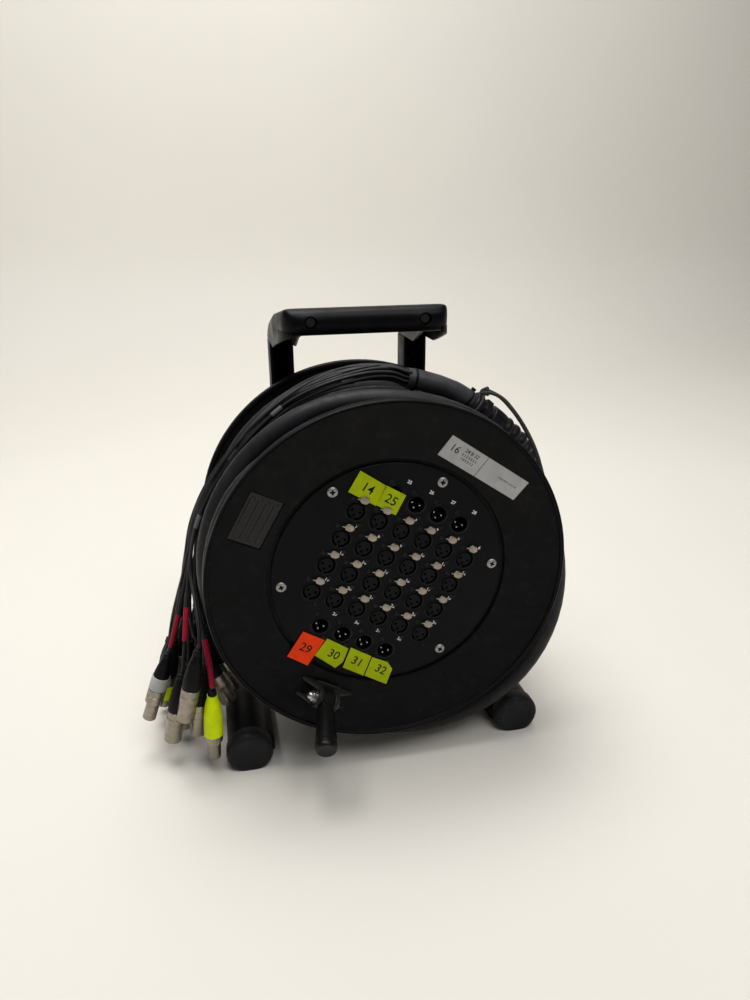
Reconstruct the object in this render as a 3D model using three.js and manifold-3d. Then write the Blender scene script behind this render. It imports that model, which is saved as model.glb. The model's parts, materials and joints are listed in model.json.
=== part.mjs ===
// Stage box snake: a cantilever cable drum with a panel of audio sockets in its front flange,
// a thick multicore cable wound between the flanges, and a fan of thin tails with plugs.
// Millimetres, +Z up. The drum turns about an axis along Y, and its front looks along -Y.
// Everything is drawn about the drum's axis at the panel's front face, and then stood on the floor.
import * as THREE from 'three';
import { mergeVertices } from 'three/addons/utils/BufferGeometryUtils.js';
import Module from 'manifold-3d';

const wasm = await Module();
wasm.setup();

// Clearances and facets
const gap = 0.3; // between pieces that touch
const overrun = 2; // how far a cutter runs past what it cuts
const flangeFacets = 32;
const barrelFacets = 24;
const footFacets = 20;
const socketFacets = 8;
const holeFacets = 8;
const axleFacets = 12;

// Drum
const coneWidth = 62; // of the flange, from its recess to its rim's edge
const flangeWall = 5;
const dish = 11; // how far the rim stands out from the flat middle
const rimWidth = 4.5;
const rimProud = 3;
const rimDepth = 10;
const rimChamfer = 1.3;
const drumWidth = 210; // over both rims
const recessGap = 4.5; // round the panel
const shelfWidth = 16.5; // under the panel's edge
const shelfWall = 4;
const barrelRadius = 112;
const barrelWall = 4;
const drumTilt = 29.5; // degrees, how far the drum stands turned clockwise

// Panel and its sockets
const panelMargin = 32.945; // from the outermost sockets' centres to the panel's edge
const panelWall = 3;
const socketPitch = 26.5;
const rowPitch = 32.1;
const socketRadius = 10.2;
const socketWall = 1.9;
const socketDepth = 13;
const socketFloor = 3;
const socketProud = 0.8;
const insertGap = 0.9;
const insertSunk = 0.6;
const pinRadius = 1.2;
const pinCircle = 4.6;
const pinSunk = 4.6;
const pinFacets = 5;
const latchAcross = 10.4;
const latchUp = 7.6;
const latchProud = 2.6;
const latchDepth = 4.4;
const latchRise = 14.3; // above the socket's centre
const latchShift = 2; // to the right of it
const femaleRows = 4;
const femaleColumns = 6;
const maleColumns = 4;

// Crank
const crankShare = 0.4; // of the way from the recess out to the rim
const crankStand = 18; // the pivot in front of the panel's face
const crankReach = 64;
const crankLean = 16.5; // degrees outward from square
const crankGrip = 11.4;
const crankNeck = 8.8;
const crankBarrel = 9.4;
const crankBarrelHalf = 6.8;
const earRadius = 10.8;
const earWall = 5;
const finSpan = 30;
const finWall = 3;
const finPlace = 9.3;
const crankPad = 14;
const padWall = 3;
const boltRadius = 3.8;
const boltHead = 6.8;
const boltHeadThick = 2.4;

// Axle and hub
const axleRadius = 12;
const axleHead = 18;
const axleHeadThick = 7;
const bushWall = 8;
const hubBoss = 30;
const hubBossFront = 15;
const hubBossRear = 14;
const nutRadius = 22;
const nutThick = 14;
const axleStub = 4;

// Frame and carry handle
const legRoom = 24; // from the rear rim's flat middle to the legs
const legDepth = 34;
const legWidth = 27.5;
const legWall = 3.4;
const legInside = 67; // from the middle to a leg
const legStraight = 40; // below the axis, where a leg turns outward
const ribWall = 2.6;
const ribCount = 3;
const hubPlateHalf = 45;
const hubPlateWall = 26;
const handleTop = 261;
const gripHeight = 28;
const gripDepth = 30;
const gripFront = 90;
const gripHalf = 84;
const armDrop = 208;
const pocketRadius = 6.3;
const pocketPlace = 60.4;
const pocketDepth = 4.4;
const pocketLift = 14.5; // above the grip's underside

// Feet
const footSpread = 156.3;
const footDrop = 205.7;
const capRadius = 25.6;
const capWall = 1.6;
const capLength = 17;
const capFace = 4.3;
const capRound = 5;
const soleFlat = 0.8;
const footFront = 4;
const footTail = 1; // from the legs' backs to the rear caps
const finDepth = 3; // how far the bar's inner flank stands out from the cap

// Cable winding
const cableRadius = 10.5;
const cablePitch = 21.7;
const cableSides = 6;
const loopSteps = 24;
const turnGap = 0.7;
const lowStack = 45.8; // from the barrel out to the middle of the turns under the front
const highStack = 59; // and of the turns near the rear flange
const frontRun = 7.3; // the top layer's first turn, from the panel's face
const underRun = 12; // the layer below at the front
const rearRun = 163.5; // and at the rear
const lowUntil = 84;
const highFrom = 108;
const slack = 34.5; // how far the loose turn hangs out
const slackAt = 312; // degrees
const slackHalf = 75;
const lift = 5.5; // of the next turn, on the tails' side
const coreGap = 2;
const slackShare = 0.04; // of the top layer's way back to the gland, before the loose turn hangs out
const crossShare = 0.42; // and where it crosses over the top

// Gland, bend protector and boot at the cable's end
const chainAngle = 50.5; // degrees, the gland's middle
const chainLift = 12.5; // the gland's middle above the middle of the top turns
const chainRun = 70;
const endLift = 10.5;
const glandHalf = 24.4;
const glandFacets = 10;
const capNutRadius = 14;
const capNutMouth = 11.4;
const capNutLength = 18.4;
const threadRadius = 11;
const hexRadius = 14.4;
const collarRadius = 13;
const protectorPeak = 13.4;
const protectorValley = 11.4;
const protectorRibs = 6;
const bootRadius = 10;
const mouthRadius = 10.7;
const mouthAngle = 78.5;
const mouthLift = 193.5;

// Tails
const tailRadius = 1.9;
const tailSides = 8;
const tailSteps = 16;
const slotPitch = 4.6;
const slotRow = 4.3;
const lanePitch = 6.5;
const bunchShare = 0.5; // the lanes' spacing lost where the bundle is narrowest
const laneStep = 2.6; // outward, of every other lane there
const layerPitch = 5.4;
const rootLength = 3;
const plugLength = 86;
const noseLength = 22;
const bodyLength = 30;
const bodyRadius = 9.9;
const maleNose = 9.4;
const femaleNose = 8.1;
const bootBase = 8.6;
const bootMiddle = 7.4;
const bootTop = 3.6;
const cordRadius = 2;
const cordSteps = 24;
const tieTurns = [-21.5, 14.5]; // degrees round the collar
const tiePlace = 15.5; // along the gland from its middle

// Places that follow from the sizes above
const maleLevel = ((femaleRows + 1) / 2) * rowPitch;
const femaleReach = Math.hypot(((femaleColumns - 1) / 2) * socketPitch, ((femaleRows - 1) / 2) * rowPitch);
const maleReach = Math.hypot(((maleColumns - 1) / 2) * socketPitch, maleLevel);
const panelRadius = Math.max(femaleReach, maleReach) + panelMargin;
const recessRadius = panelRadius + recessGap;
const flangeRadius = recessRadius + coneWidth;
const shelfRadius = panelRadius - shelfWidth;
const rimInner = flangeRadius - rimWidth;
const crankRadius = recessRadius + crankShare * (rimInner - recessRadius);
const rimFront = -dish - rimProud;
const drumMiddle = rimFront + drumWidth / 2;
const shelfFace = panelWall + gap;
const flatBack = shelfFace + shelfWall;
const rearFlatFront = 2 * drumMiddle - flatBack;
const rearFlatBack = 2 * drumMiddle;
const lowLayer = barrelRadius + lowStack;
const highLayer = barrelRadius + highStack;
const topLayer = lowLayer + 2 * cableRadius + turnGap;
const chainRadius = topLayer + chainLift;
const legFront = rearFlatBack + legRoom;
const legBack = legFront + legDepth;
const footLength = legBack + footTail + capLength - footFront;
const legMiddle = legInside + legWidth / 2;
const hipHeight = -legStraight;
const barRadius = capRadius - capWall - gap;
const floor = -(footDrop + capRadius - soleFlat);
const legTop = armDrop - gap;
const hubBack = legBack - legWall;
const hubFace = hubBack - hubPlateWall;

const degrees = THREE.MathUtils.degToRad;
const smooth = THREE.MathUtils.smoothstep;

// A point at an angle round the drum's axis, seen from the front, counted from the right
function polar(angle, radius, y) {
  return new THREE.Vector3(radius * Math.cos(degrees(angle)), y, radius * Math.sin(degrees(angle)));
}

// A geometry of positions alone, with shared corners and no flat triangles, faces pointing out
function bare(geometry) {
  geometry.deleteAttribute('normal');
  geometry.deleteAttribute('uv');
  const merged = mergeVertices(geometry);
  const kept = [];
  const index = merged.index.array;
  for (let i = 0; i < index.length; i += 3) {
    const [a, b, c] = [index[i], index[i + 1], index[i + 2]];
    if (a !== b && b !== c && c !== a) kept.push(a, b, c);
  }
  merged.setIndex(kept);
  if (volume(merged) < 0) merged.setIndex(kept.map((_, i) => kept[i - (i % 3) + (2 - (i % 3))]));
  return merged;
}

function volume(geometry) {
  const place = geometry.attributes.position;
  const index = geometry.index.array;
  const [a, b, c] = [new THREE.Vector3(), new THREE.Vector3(), new THREE.Vector3()];
  let sum = 0;
  for (let i = 0; i < index.length; i += 3) {
    a.fromBufferAttribute(place, index[i]);
    b.fromBufferAttribute(place, index[i + 1]);
    c.fromBufferAttribute(place, index[i + 2]);
    sum += a.dot(b.cross(c));
  }
  return sum;
}

function toSolid(geometry) {
  const clean = bare(geometry);
  return new wasm.Manifold(new wasm.Mesh({
    numProp: 3,
    vertProperties: new Float32Array(clean.attributes.position.array),
    triVerts: new Uint32Array(clean.index.array),
  }));
}

function toGeometry(solid) {
  const mesh = solid.getMesh();
  const geometry = new THREE.BufferGeometry();
  geometry.setAttribute('position', new THREE.BufferAttribute(new Float32Array(mesh.vertProperties), 3));
  geometry.setIndex(new THREE.BufferAttribute(new Uint32Array(mesh.triVerts), 1));
  return geometry;
}

function together(pieces) {
  return pieces.map(toSolid).reduce((whole, piece) => whole.add(piece));
}

function cut(pieces, cutters) {
  return toGeometry(together(pieces).subtract(together(cutters)));
}

// A solid of revolution about the drum's axis from a closed outline of [radius, y] points
function turned(outline, facets) {
  const points = outline.map(([r, y]) => new THREE.Vector2(r, y));
  return bare(new THREE.LatheGeometry([...points, points[0].clone()], facets));
}

// An outline of [x, z] points, drawn out along Y from front to back
function prism(outline, front, back) {
  const shape = new THREE.Shape(outline.map(([x, z]) => new THREE.Vector2(x, z)));
  const solid = new THREE.ExtrudeGeometry(shape, { depth: back - front, bevelEnabled: false });
  return bare(solid.rotateX(Math.PI / 2).translate(0, back, 0));
}

// An outline of [y, z] points, drawn out along X
function sideways(outline, left, right) {
  const shape = new THREE.Shape(outline.map(([y, z]) => new THREE.Vector2(y, z)));
  const solid = new THREE.ExtrudeGeometry(shape, { depth: right - left, bevelEnabled: false });
  return bare(solid.rotateX(Math.PI / 2).rotateZ(Math.PI / 2).translate(left, 0, 0));
}

// An outline of [x, y] points, drawn out along Z
function upright(outline, low, high) {
  const shape = new THREE.Shape(outline.map(([x, y]) => new THREE.Vector2(x, y)));
  const solid = new THREE.ExtrudeGeometry(shape, { depth: high - low, bevelEnabled: false });
  return bare(solid.translate(0, 0, low));
}

function slab([x0, x1], [y0, y1], [z0, z1]) {
  const solid = new THREE.BoxGeometry(x1 - x0, y1 - y0, z1 - z0);
  return bare(solid.translate((x0 + x1) / 2, (y0 + y1) / 2, (z0 + z1) / 2));
}

// A round bar along Y, with a flat side up
function rod(radius, front, back, facets, x = 0, z = 0, rearRadius = radius) {
  const solid = new THREE.CylinderGeometry(rearRadius, radius, back - front, facets);
  return bare(solid.rotateY(Math.PI / facets).translate(x, (front + back) / 2, z));
}

// A round bar along X
function crossRod(radius, left, right, facets) {
  const solid = new THREE.CylinderGeometry(radius, radius, right - left, facets);
  return bare(solid.rotateY(Math.PI / facets).rotateZ(-Math.PI / 2).translate((left + right) / 2, 0, 0));
}

// A closed tube through rings of points that all hold the same count
function skinned(rings) {
  const sides = rings[0].length;
  const places = rings.flat().flatMap((p) => [p.x, p.y, p.z]);
  const index = [];
  for (let r = 0; r + 1 < rings.length; r++) {
    for (let s = 0; s < sides; s++) {
      const [a, b] = [r * sides + s, r * sides + ((s + 1) % sides)];
      index.push(a, b, b + sides, a, b + sides, a + sides);
    }
  }
  const last = (rings.length - 1) * sides;
  for (let s = 1; s + 1 < sides; s++) {
    index.push(0, s + 1, s, last, last + s, last + s + 1);
  }
  const geometry = new THREE.BufferGeometry();
  geometry.setAttribute('position', new THREE.Float32BufferAttribute(places, 3));
  geometry.setIndex(index);
  return bare(geometry);
}

// A ring of points round a place, square to a direction, its first point outward from the drum's axis
function ring(place, direction, radius, sides) {
  const outward = new THREE.Vector3(place.x, 0, place.z).normalize();
  outward.addScaledVector(direction, -outward.dot(direction)).normalize();
  const across = direction.clone().cross(outward);
  return Array.from({ length: sides }, (_, i) => {
    const turn = (2 * Math.PI * i) / sides;
    return place.clone().addScaledVector(outward, radius * Math.cos(turn))
      .addScaledVector(across, radius * Math.sin(turn));
  });
}

// A round cord through points, as an extruded section
function cord(points, radius, sides, steps) {
  const curve = new THREE.CatmullRomCurve3(points, false, 'centripetal');
  const section = new THREE.Shape(Array.from({ length: sides }, (_, i) => {
    const turn = (2 * Math.PI * i) / sides;
    return new THREE.Vector2(radius * Math.cos(turn), radius * Math.sin(turn));
  }));
  return bare(new THREE.ExtrudeGeometry(section, { steps, extrudePath: curve }));
}

// Puts a shape that was drawn along +Y at a place, with +Y along a direction
function aimed(geometry, place, direction) {
  const turn = new THREE.Quaternion().setFromUnitVectors(new THREE.Vector3(0, 1, 0), direction);
  return geometry.applyQuaternion(turn).translate(place.x, place.y, place.z);
}

const charcoal = { color: 0x232325, roughness: 0.62, metalness: 0 };
const finishes = {
  moulding: charcoal,
  flange: { color: 0x1f1f21, roughness: 0.58, metalness: 0 },
  panel: { color: 0x17171a, roughness: 0.7, metalness: 0.1 },
  socket: { color: 0x0e0e10, roughness: 0.45, metalness: 0 },
  latch: { color: 0xb3a98f, roughness: 0.4, metalness: 0.8 },
  steel: { color: 0xc9c9c6, roughness: 0.3, metalness: 0.9 },
  nickel: { color: 0xb9b3a6, roughness: 0.35, metalness: 0.85 },
  cable: { color: 0x1c1c1e, roughness: 0.5, metalness: 0 },
  rubber: { color: 0x151517, roughness: 0.8, metalness: 0 },
  brass: { color: 0xa88b4a, roughness: 0.45, metalness: 0.8 },
};

const fixed = new THREE.Group();
const turning = new THREE.Group();

function add(group, name, geometry, finish) {
  const mesh = new THREE.Mesh(geometry, new THREE.MeshStandardMaterial(finishes[finish]));
  mesh.name = name;
  group.add(mesh);
  return mesh;
}

// Flanges: a flat middle, a dished cone and a rim. The rear one mirrors the front one.
const mirrored = (outline) => outline.map(([r, y]) => [r, 2 * drumMiddle - y]);

function rimOutline() {
  return [
    [recessRadius, 0],
    [rimInner, -dish],
    [rimInner, rimFront],
    [flangeRadius - rimChamfer, rimFront],
    [flangeRadius, rimFront + rimChamfer],
    [flangeRadius, rimFront + rimDepth - rimChamfer],
    [flangeRadius - rimChamfer, rimFront + rimDepth],
    [rimInner, rimFront + rimDepth],
    [rimInner, flangeWall - dish],
    [recessRadius, flatBack],
  ];
}

function frontFlange() {
  return turned([[recessRadius, shelfFace], ...rimOutline(), [shelfRadius, flatBack], [shelfRadius, shelfFace]],
    flangeFacets);
}

function rearFlange() {
  const bore = axleRadius + gap + bushWall + gap;
  return turned([
    ...mirrored(rimOutline()),
    [hubBoss, rearFlatFront],
    [hubBoss, rearFlatFront - hubBossFront],
    [bore, rearFlatFront - hubBossFront],
    [bore, rearFlatBack + hubBossRear],
    [hubBoss, rearFlatBack + hubBossRear],
    [hubBoss, rearFlatBack],
  ], flangeFacets);
}

function barrel() {
  const [front, back] = [flatBack + gap, rearFlatFront - gap];
  const inner = barrelRadius - barrelWall;
  return turned([[inner, front], [barrelRadius, front], [barrelRadius, back], [inner, back]], barrelFacets);
}

// The lower layers of cable, plain under the turns that show
function innerLayers() {
  const [front, back] = [flatBack + gap, rearFlatFront - gap];
  const [low, high] = [lowLayer - cableRadius - coreGap, highLayer - cableRadius - coreGap];
  return turned([
    [barrelRadius + gap, front],
    [low, front],
    [low, lowUntil + cableRadius / 2],
    [high, highFrom + cableRadius],
    [high, back],
    [barrelRadius + gap, back],
  ], barrelFacets);
}

// Places of the sockets on the panel, in the drum's own frame: [x, z]
function grid(rows, columns) {
  return rows.flatMap((z) => Array.from({ length: columns }, (_, i) =>
    [(i - (columns - 1) / 2) * socketPitch, z]));
}

const femaleLevels = Array.from({ length: femaleRows }, (_, i) => ((femaleRows - 1) / 2 - i) * rowPitch);
const females = grid(femaleLevels, femaleColumns);
const males = grid([maleLevel, -maleLevel], maleColumns);
const latchPlaces = females.map(([x, z]) => [x + latchShift, z + latchRise]);

function latchOutline([x, z], spare) {
  const [half, high] = [latchAcross / 2 + spare, latchUp / 2 + spare];
  return [[x - half, z], [x - half / 2, z - high], [x + half / 2, z - high],
    [x + half, z], [x + half / 2, z + high], [x - half / 2, z + high]];
}

function femaleSocket() {
  const inner = socketRadius - socketWall;
  const back = socketDepth - socketFloor;
  return turned([[0, insertSunk], [inner - insertGap, insertSunk], [inner - insertGap, back], [inner, back],
    [inner, -socketProud], [socketRadius, -socketProud], [socketRadius, socketDepth], [0, socketDepth]],
  socketFacets).rotateY(Math.PI / socketFacets);
}

function maleSocket() {
  const inner = socketRadius - socketWall;
  const back = socketDepth - socketFloor;
  const cup = turned([[0, back], [inner, back], [inner, -socketProud], [socketRadius, -socketProud],
    [socketRadius, socketDepth], [0, socketDepth]], socketFacets).rotateY(Math.PI / socketFacets);
  const pins = [0, 180, 270].map((angle) => {
    const place = polar(angle, pinCircle, 0);
    return rod(pinRadius, pinSunk, back + socketFloor / 2, pinFacets, place.x, place.z);
  });
  return toGeometry(together([cup, ...pins]));
}

// The plate with its sockets fixed in it
function socketPanel() {
  const plate = rod(panelRadius, 0, panelWall, flangeFacets);
  const holes = [...females, ...males].map(([x, z]) =>
    rod(socketRadius - socketWall / 2, -overrun, panelWall + overrun, socketFacets, x, z));
  const slots = latchPlaces.map((place) => prism(latchOutline(place, gap), -overrun, panelWall + overrun));
  const sockets = [
    ...females.map(([x, z]) => femaleSocket().translate(x, 0, z)),
    ...males.map(([x, z]) => maleSocket().translate(x, 0, z)),
  ];
  return toGeometry(toSolid(cut([plate], [...holes, ...slots])).add(together(sockets)));
}

// Crank: a clevis on the flange, and a grip that folds about its bolt
const crankPivot = new THREE.Vector3(0, -crankStand, -crankRadius);

function crankBracket() {
  const ears = [-1, 1].flatMap((side) => {
    const near = side * (crankBarrelHalf + gap);
    const far = side * (crankBarrelHalf + gap + earWall);
    const edges = [Math.min(near, far), Math.max(near, far)];
    const dome = Array.from({ length: 7 }, (_, i) => polar(i * 30, earRadius, 0)).map((p) => [-p.z, p.x]);
    const foot = crankStand + overrun;
    const ear = sideways([...dome, [foot, -earRadius], [foot, earRadius]], ...edges);
    const fins = [-1, 1].map((end) => {
      const outline = [[far - side * gap, 0], [far - side * gap, crankStand + overrun],
        [side * finSpan, crankStand + overrun], [side * finSpan, crankStand - finWall]];
      const middle = end * finPlace;
      return upright(outline, middle - finWall / 2, middle + finWall / 2);
    });
    return [ear, ...fins];
  });
  const bore = crossRod(boltRadius + gap, -finSpan, finSpan, holeFacets)
    .translate(0, crankPivot.y, crankPivot.z);
  const body = together(ears.map((piece) => piece.translate(0, crankPivot.y, crankPivot.z)));
  const across = [crankPad, -crankPad].map((z) => -crankRadius - z);
  const block = slab([-crankPad, crankPad], [-crankStand, crankStand], across);
  const pad = toSolid(block).intersect(toSolid(flangeFace(padWall + gap)));
  return toGeometry(body.add(pad).subtract(together([bore, flangeFace(gap)])));
}

// All that lies behind the front flange's face, with a layer of a given thickness on it
function flangeFace(layer) {
  return turned([[0, -layer], [recessRadius, -layer], [rimInner, -dish - layer], [rimInner, crankStand],
    [0, crankStand]], flangeFacets);
}

function crankBolt() {
  const end = crankBarrelHalf + 2 * gap + earWall;
  const shank = crossRod(boltRadius, -end - boltHeadThick, end, holeFacets);
  const head = crossRod(boltHead, end, end + boltHeadThick, holeFacets);
  return toGeometry(together([shank, head]));
}

function crankNut() {
  const end = crankBarrelHalf + 2 * gap + earWall;
  return cut([crossRod(boltHead, -end - boltHeadThick, -end, 6)],
    [crossRod(boltRadius + gap, -end - boltHeadThick - overrun, -end + overrun, holeFacets)]);
}

function crankHandle() {
  const hub = crossRod(crankBarrel, -crankBarrelHalf, crankBarrelHalf, 12);
  const neckEnd = -earRadius - gap;
  const sides = [-crankBarrelHalf, crankBarrelHalf];
  const neck = slab(sides, [neckEnd - overrun, 0], sides);
  const grip = turned([[0, neckEnd], [crankNeck, neckEnd - gap], [crankGrip, -crankReach + capRound],
    [crankGrip - overrun, -crankReach], [0, -crankReach]], 12);
  const bore = (boltRadius + gap) / Math.cos(Math.PI / holeFacets);
  return cut([hub, neck, grip], [crossRod(bore, -finSpan, finSpan, holeFacets)]);
}

// Axle: a spindle held in the frame's hub plate, with the drum's bush running on it
function hubBush() {
  const [inner, outer] = [axleRadius + gap, axleRadius + gap + bushWall];
  const [front, boss] = [rearFlatFront - hubBossFront, rearFlatBack + hubBossRear + gap];
  const back = hubFace - gap;
  return turned([
    [inner, front], [outer, front], [outer, boss], [hubBoss, boss], [hubBoss, back], [inner, back],
  ], 20);
}

function axleSpindle() {
  const front = rearFlatFront - hubBossFront - gap - nutThick - axleStub;
  const back = hubBack + gap;
  return turned([[0, front], [axleRadius, front], [axleRadius, back], [axleHead, back],
    [axleHead, back + axleHeadThick], [0, back + axleHeadThick]], axleFacets).rotateY(Math.PI / axleFacets);
}

function axleNut() {
  const back = rearFlatFront - hubBossFront - gap;
  return cut([rod(nutRadius, back - nutThick, back, 6)],
    [rod(axleRadius + gap, back - nutThick - overrun, back + overrun, axleFacets)]);
}

// Frame: one moulding of two channel legs, open to the front, and a hub plate between them
function beside(path, distance) {
  return path.map((point, i) => {
    const before = point.clone().sub(path[Math.max(i - 1, 0)]);
    const after = path[Math.min(i + 1, path.length - 1)].clone().sub(point);
    const [first, second] = [before, after].map((run) => new THREE.Vector2(-run.y, run.x).normalize());
    const normal = first.length() ? first : second;
    const other = second.length() ? second : first;
    return normal.clone().add(other).multiplyScalar(distance / (1 + normal.dot(other))).add(point);
  });
}

function legOutline(side, inset) {
  const path = [[legMiddle, legTop - inset], [legMiddle, hipHeight], [footSpread, -footDrop]]
    .map(([x, z]) => new THREE.Vector2(x, z));
  const half = legWidth / 2 - inset;
  return [...beside(path, half), ...beside(path, -half).reverse()].map(({ x, y }) => [side * x, y]);
}

function frameLeg(side) {
  const leg = prism(legOutline(side, 0), legFront, legBack);
  const hollow = prism(legOutline(side, legWall), legFront - overrun, legBack - legWall);
  const ribs = Array.from({ length: ribCount }, (_, i) => {
    const middle = THREE.MathUtils.lerp(legTop, hipHeight, (i + 1 / 2) / ribCount);
    const half = (legWidth - legWall) / 2;
    return slab([-half, half], [legFront + legWall, legBack - legWall / 2], [-ribWall / 2, ribWall / 2])
      .translate(side * legMiddle, 0, middle);
  });
  return toSolid(leg).subtract(toSolid(hollow)).add(together(ribs));
}

function rearFrame() {
  const half = legInside + legWall / 2;
  const plate = slab([-half, half], [hubFace, hubBack], [-hubPlateHalf, hubPlateHalf]);
  const bore = rod(axleRadius + gap, hubFace - overrun, hubBack + overrun, axleFacets);
  const bars = [-1, 1].map((side) =>
    rod(barRadius + gap, legFront - overrun, legBack + overrun, footFacets, side * footSpread, -footDrop));
  return toGeometry(frameLeg(-1).add(frameLeg(1)).add(toSolid(plate)).subtract(together([bore, ...bars])));
}

function carryHandle() {
  const gripLow = handleTop - gripHeight;
  const outside = legInside + legWidth;
  const side = [
    [gripFront + capRound, gripLow],
    [gripFront, gripLow + capRound],
    [gripFront, handleTop - 2 * capRound - gap],
    [gripFront + capRound / 2, handleTop - capRound],
    [gripFront + 2 * capRound, handleTop - gap],
    [gripFront + gripDepth / 2, handleTop],
    [gripFront + gripDepth, handleTop - legWall],
    [gripFront + gripDepth + legDepth, handleTop - 3 * legWall],
    [legFront, handleTop - 7 * legWall],
    [legBack - 2 * capRound, gripLow - 2 * legWall],
    [legBack, armDrop + 2 * legWall],
    [legBack, armDrop],
    [legFront, armDrop],
    [legFront - legDepth - capRound, armDrop + legWall],
    [gripFront + gripDepth + 2 * legWall, gripLow],
  ];
  const corner = legWidth / 2;
  const half = [
    [outside, legBack + overrun],
    [outside, gripFront + 2 * gripDepth],
    [gripHalf + capRound, gripFront + gripDepth / 2],
    [gripHalf, gripFront + capRound],
    [gripHalf - capRound, gripFront + gap],
    [gripHalf - corner, gripFront - overrun],
  ];
  const palm = [
    [legInside - corner, gripFront + gripDepth],
    [legInside - corner / 4, gripFront + gripDepth + corner / 4],
    [legInside, gripFront + gripDepth + corner],
    [legInside, legBack + overrun],
  ];
  const other = (points) => points.map(([x, y]) => [-x, y]).reverse();
  const plan = [...half, ...other(half), ...other(palm), ...palm];
  const body = toSolid(sideways(side, -outside, outside)).intersect(toSolid(upright(plan, armDrop - overrun,
    handleTop + overrun)));
  const pockets = [-1, 1].map((end) => rod(pocketRadius, gripFront - overrun, gripFront + pocketDepth,
    10, end * pocketPlace, gripLow + pocketLift));
  return toGeometry(body.subtract(together(pockets)));
}

// Feet: a bar along each side with a flank on its inner side, and a cap with a flat sole on each end
function footBar(side) {
  const [front, back] = [footFront + capFace + gap, footFront + footLength - capFace - gap];
  const round = rod(barRadius, front, back, footFacets, side * footSpread, -footDrop);
  const flank = capRadius + finDepth;
  const inside = barRadius / 2;
  const outline = [[inside, barRadius * 3 / 4], [flank, 0], [flank, -barRadius / 2], [inside, -barRadius * 7 / 8]]
    .map(([x, z]) => [side * (footSpread - x), z - footDrop]);
  const fin = prism(outline, footFront + capLength + gap, footFront + footLength - capLength - gap);
  return toGeometry(together([round, fin]));
}

function footCap(side, rear) {
  const outline = [[0, 0], [capRadius - capRound, 0], [capRadius, capRound], [capRadius, capLength],
    [capRadius - capWall, capLength], [capRadius - capWall, capFace], [0, capFace]];
  const placed = outline.map(([r, y]) => [r, rear ? footFront + footLength - y : footFront + y]);
  const cap = turned(placed, footFacets).rotateY(Math.PI / footFacets).translate(side * footSpread, 0, -footDrop);
  const ground = slab([side * footSpread - 2 * capRadius, side * footSpread + 2 * capRadius],
    [footFront - overrun, footFront + footLength + overrun], [floor - capRadius, floor]);
  return cut([cap], [ground]);
}

// Winding: one tube from the rear flange forward, out to the top layer, and back to the gland
const turnUp = 95; // degrees, where the tube starts to climb to the top layer
const turnTop = 150; // and where it is there
const windingStart = turnUp - (360 * (rearRun - underRun)) / cablePitch;
const windingEnd = 720 + chainAngle - 33;

function windingPoint(angle) {
  const under = underRun + (cablePitch * (turnUp - angle)) / 360;
  if (angle < turnUp) {
    return polar(angle, lowLayer + (highLayer - lowLayer) * smooth(under, lowUntil, highFrom), under);
  }
  const up = smooth(angle, turnUp, turnTop);
  const off = Math.abs(angle - slackAt) / slackHalf;
  const loose = off < 1 ? slack * Math.cos((off * Math.PI) / 2) ** 2 : 0;
  const raised = lift * (smooth(angle, 440, 480) - smooth(angle, 540, 600));
  const ending = endLift * smooth(angle, 640, windingEnd);
  const radius = THREE.MathUtils.lerp(lowLayer, topLayer, up) + loose + raised + ending;
  const shift = slackShare * smooth(angle, 200, slackAt) + crossShare * smooth(angle, 372, 520)
    + (1 - slackShare - crossShare) * smooth(angle, 480, 780);
  return polar(angle, radius, THREE.MathUtils.lerp(under, frontRun, up) + shift * (chainRun - frontRun));
}

function windingPath() {
  const steps = Math.round(((windingEnd - windingStart) / 360) * loopSteps);
  const points = Array.from({ length: steps + 1 }, (_, i) =>
    windingPoint(THREE.MathUtils.lerp(windingStart, windingEnd, i / steps)));
  const straight = 2 * cableRadius;
  const first = points[0].clone().sub(points[1]).normalize();
  const last = points[steps].clone().sub(points[steps - 1]).normalize();
  return [points[0].clone().addScaledVector(first, straight), ...points,
    points[steps].clone().addScaledVector(last, straight)];
}

function along(points, i) {
  const [before, after] = [points[Math.max(i - 1, 0)], points[Math.min(i + 1, points.length - 1)]];
  return after.clone().sub(before).normalize();
}

const winding = windingPath();
const cableEnd = winding[winding.length - 1];
const cableHeading = cableEnd.clone().sub(winding[winding.length - 2]).normalize();

function cableTurns() {
  return skinned(winding.map((point, i) => ring(point, along(winding, i), cableRadius, cableSides)));
}

// The least gap from one turn to any other, on points four times as close as the tube's
function leastGap() {
  const steps = Math.round(((windingEnd - windingStart) / 360) * loopSteps * 4);
  const points = Array.from({ length: steps + 1 }, (_, i) =>
    windingPoint(THREE.MathUtils.lerp(windingStart, windingEnd, i / steps)));
  let least = Infinity;
  for (let i = 0; i < points.length; i++) {
    for (let j = i + loopSteps * 2; j < points.length; j++) {
      least = Math.min(least, points[i].distanceTo(points[j]) - 2 * cableRadius);
    }
  }
  return least;
}

// Gland, protector and boot, along the winding's tangent at the gland
const chainMiddle = polar(chainAngle, chainRadius, chainRun);
const chainHeading = polar(chainAngle + 90, 1, 0);
const onChain = (distance) => chainMiddle.clone().addScaledVector(chainHeading, distance);

function glandCapNut() {
  const front = -glandHalf;
  return aimed(turned([[0, front], [capNutMouth, front], [capNutRadius - gap, front + capRound],
    [capNutRadius, front + capNutLength], [0, front + capNutLength]], glandFacets),
  chainMiddle, chainHeading);
}

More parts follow.
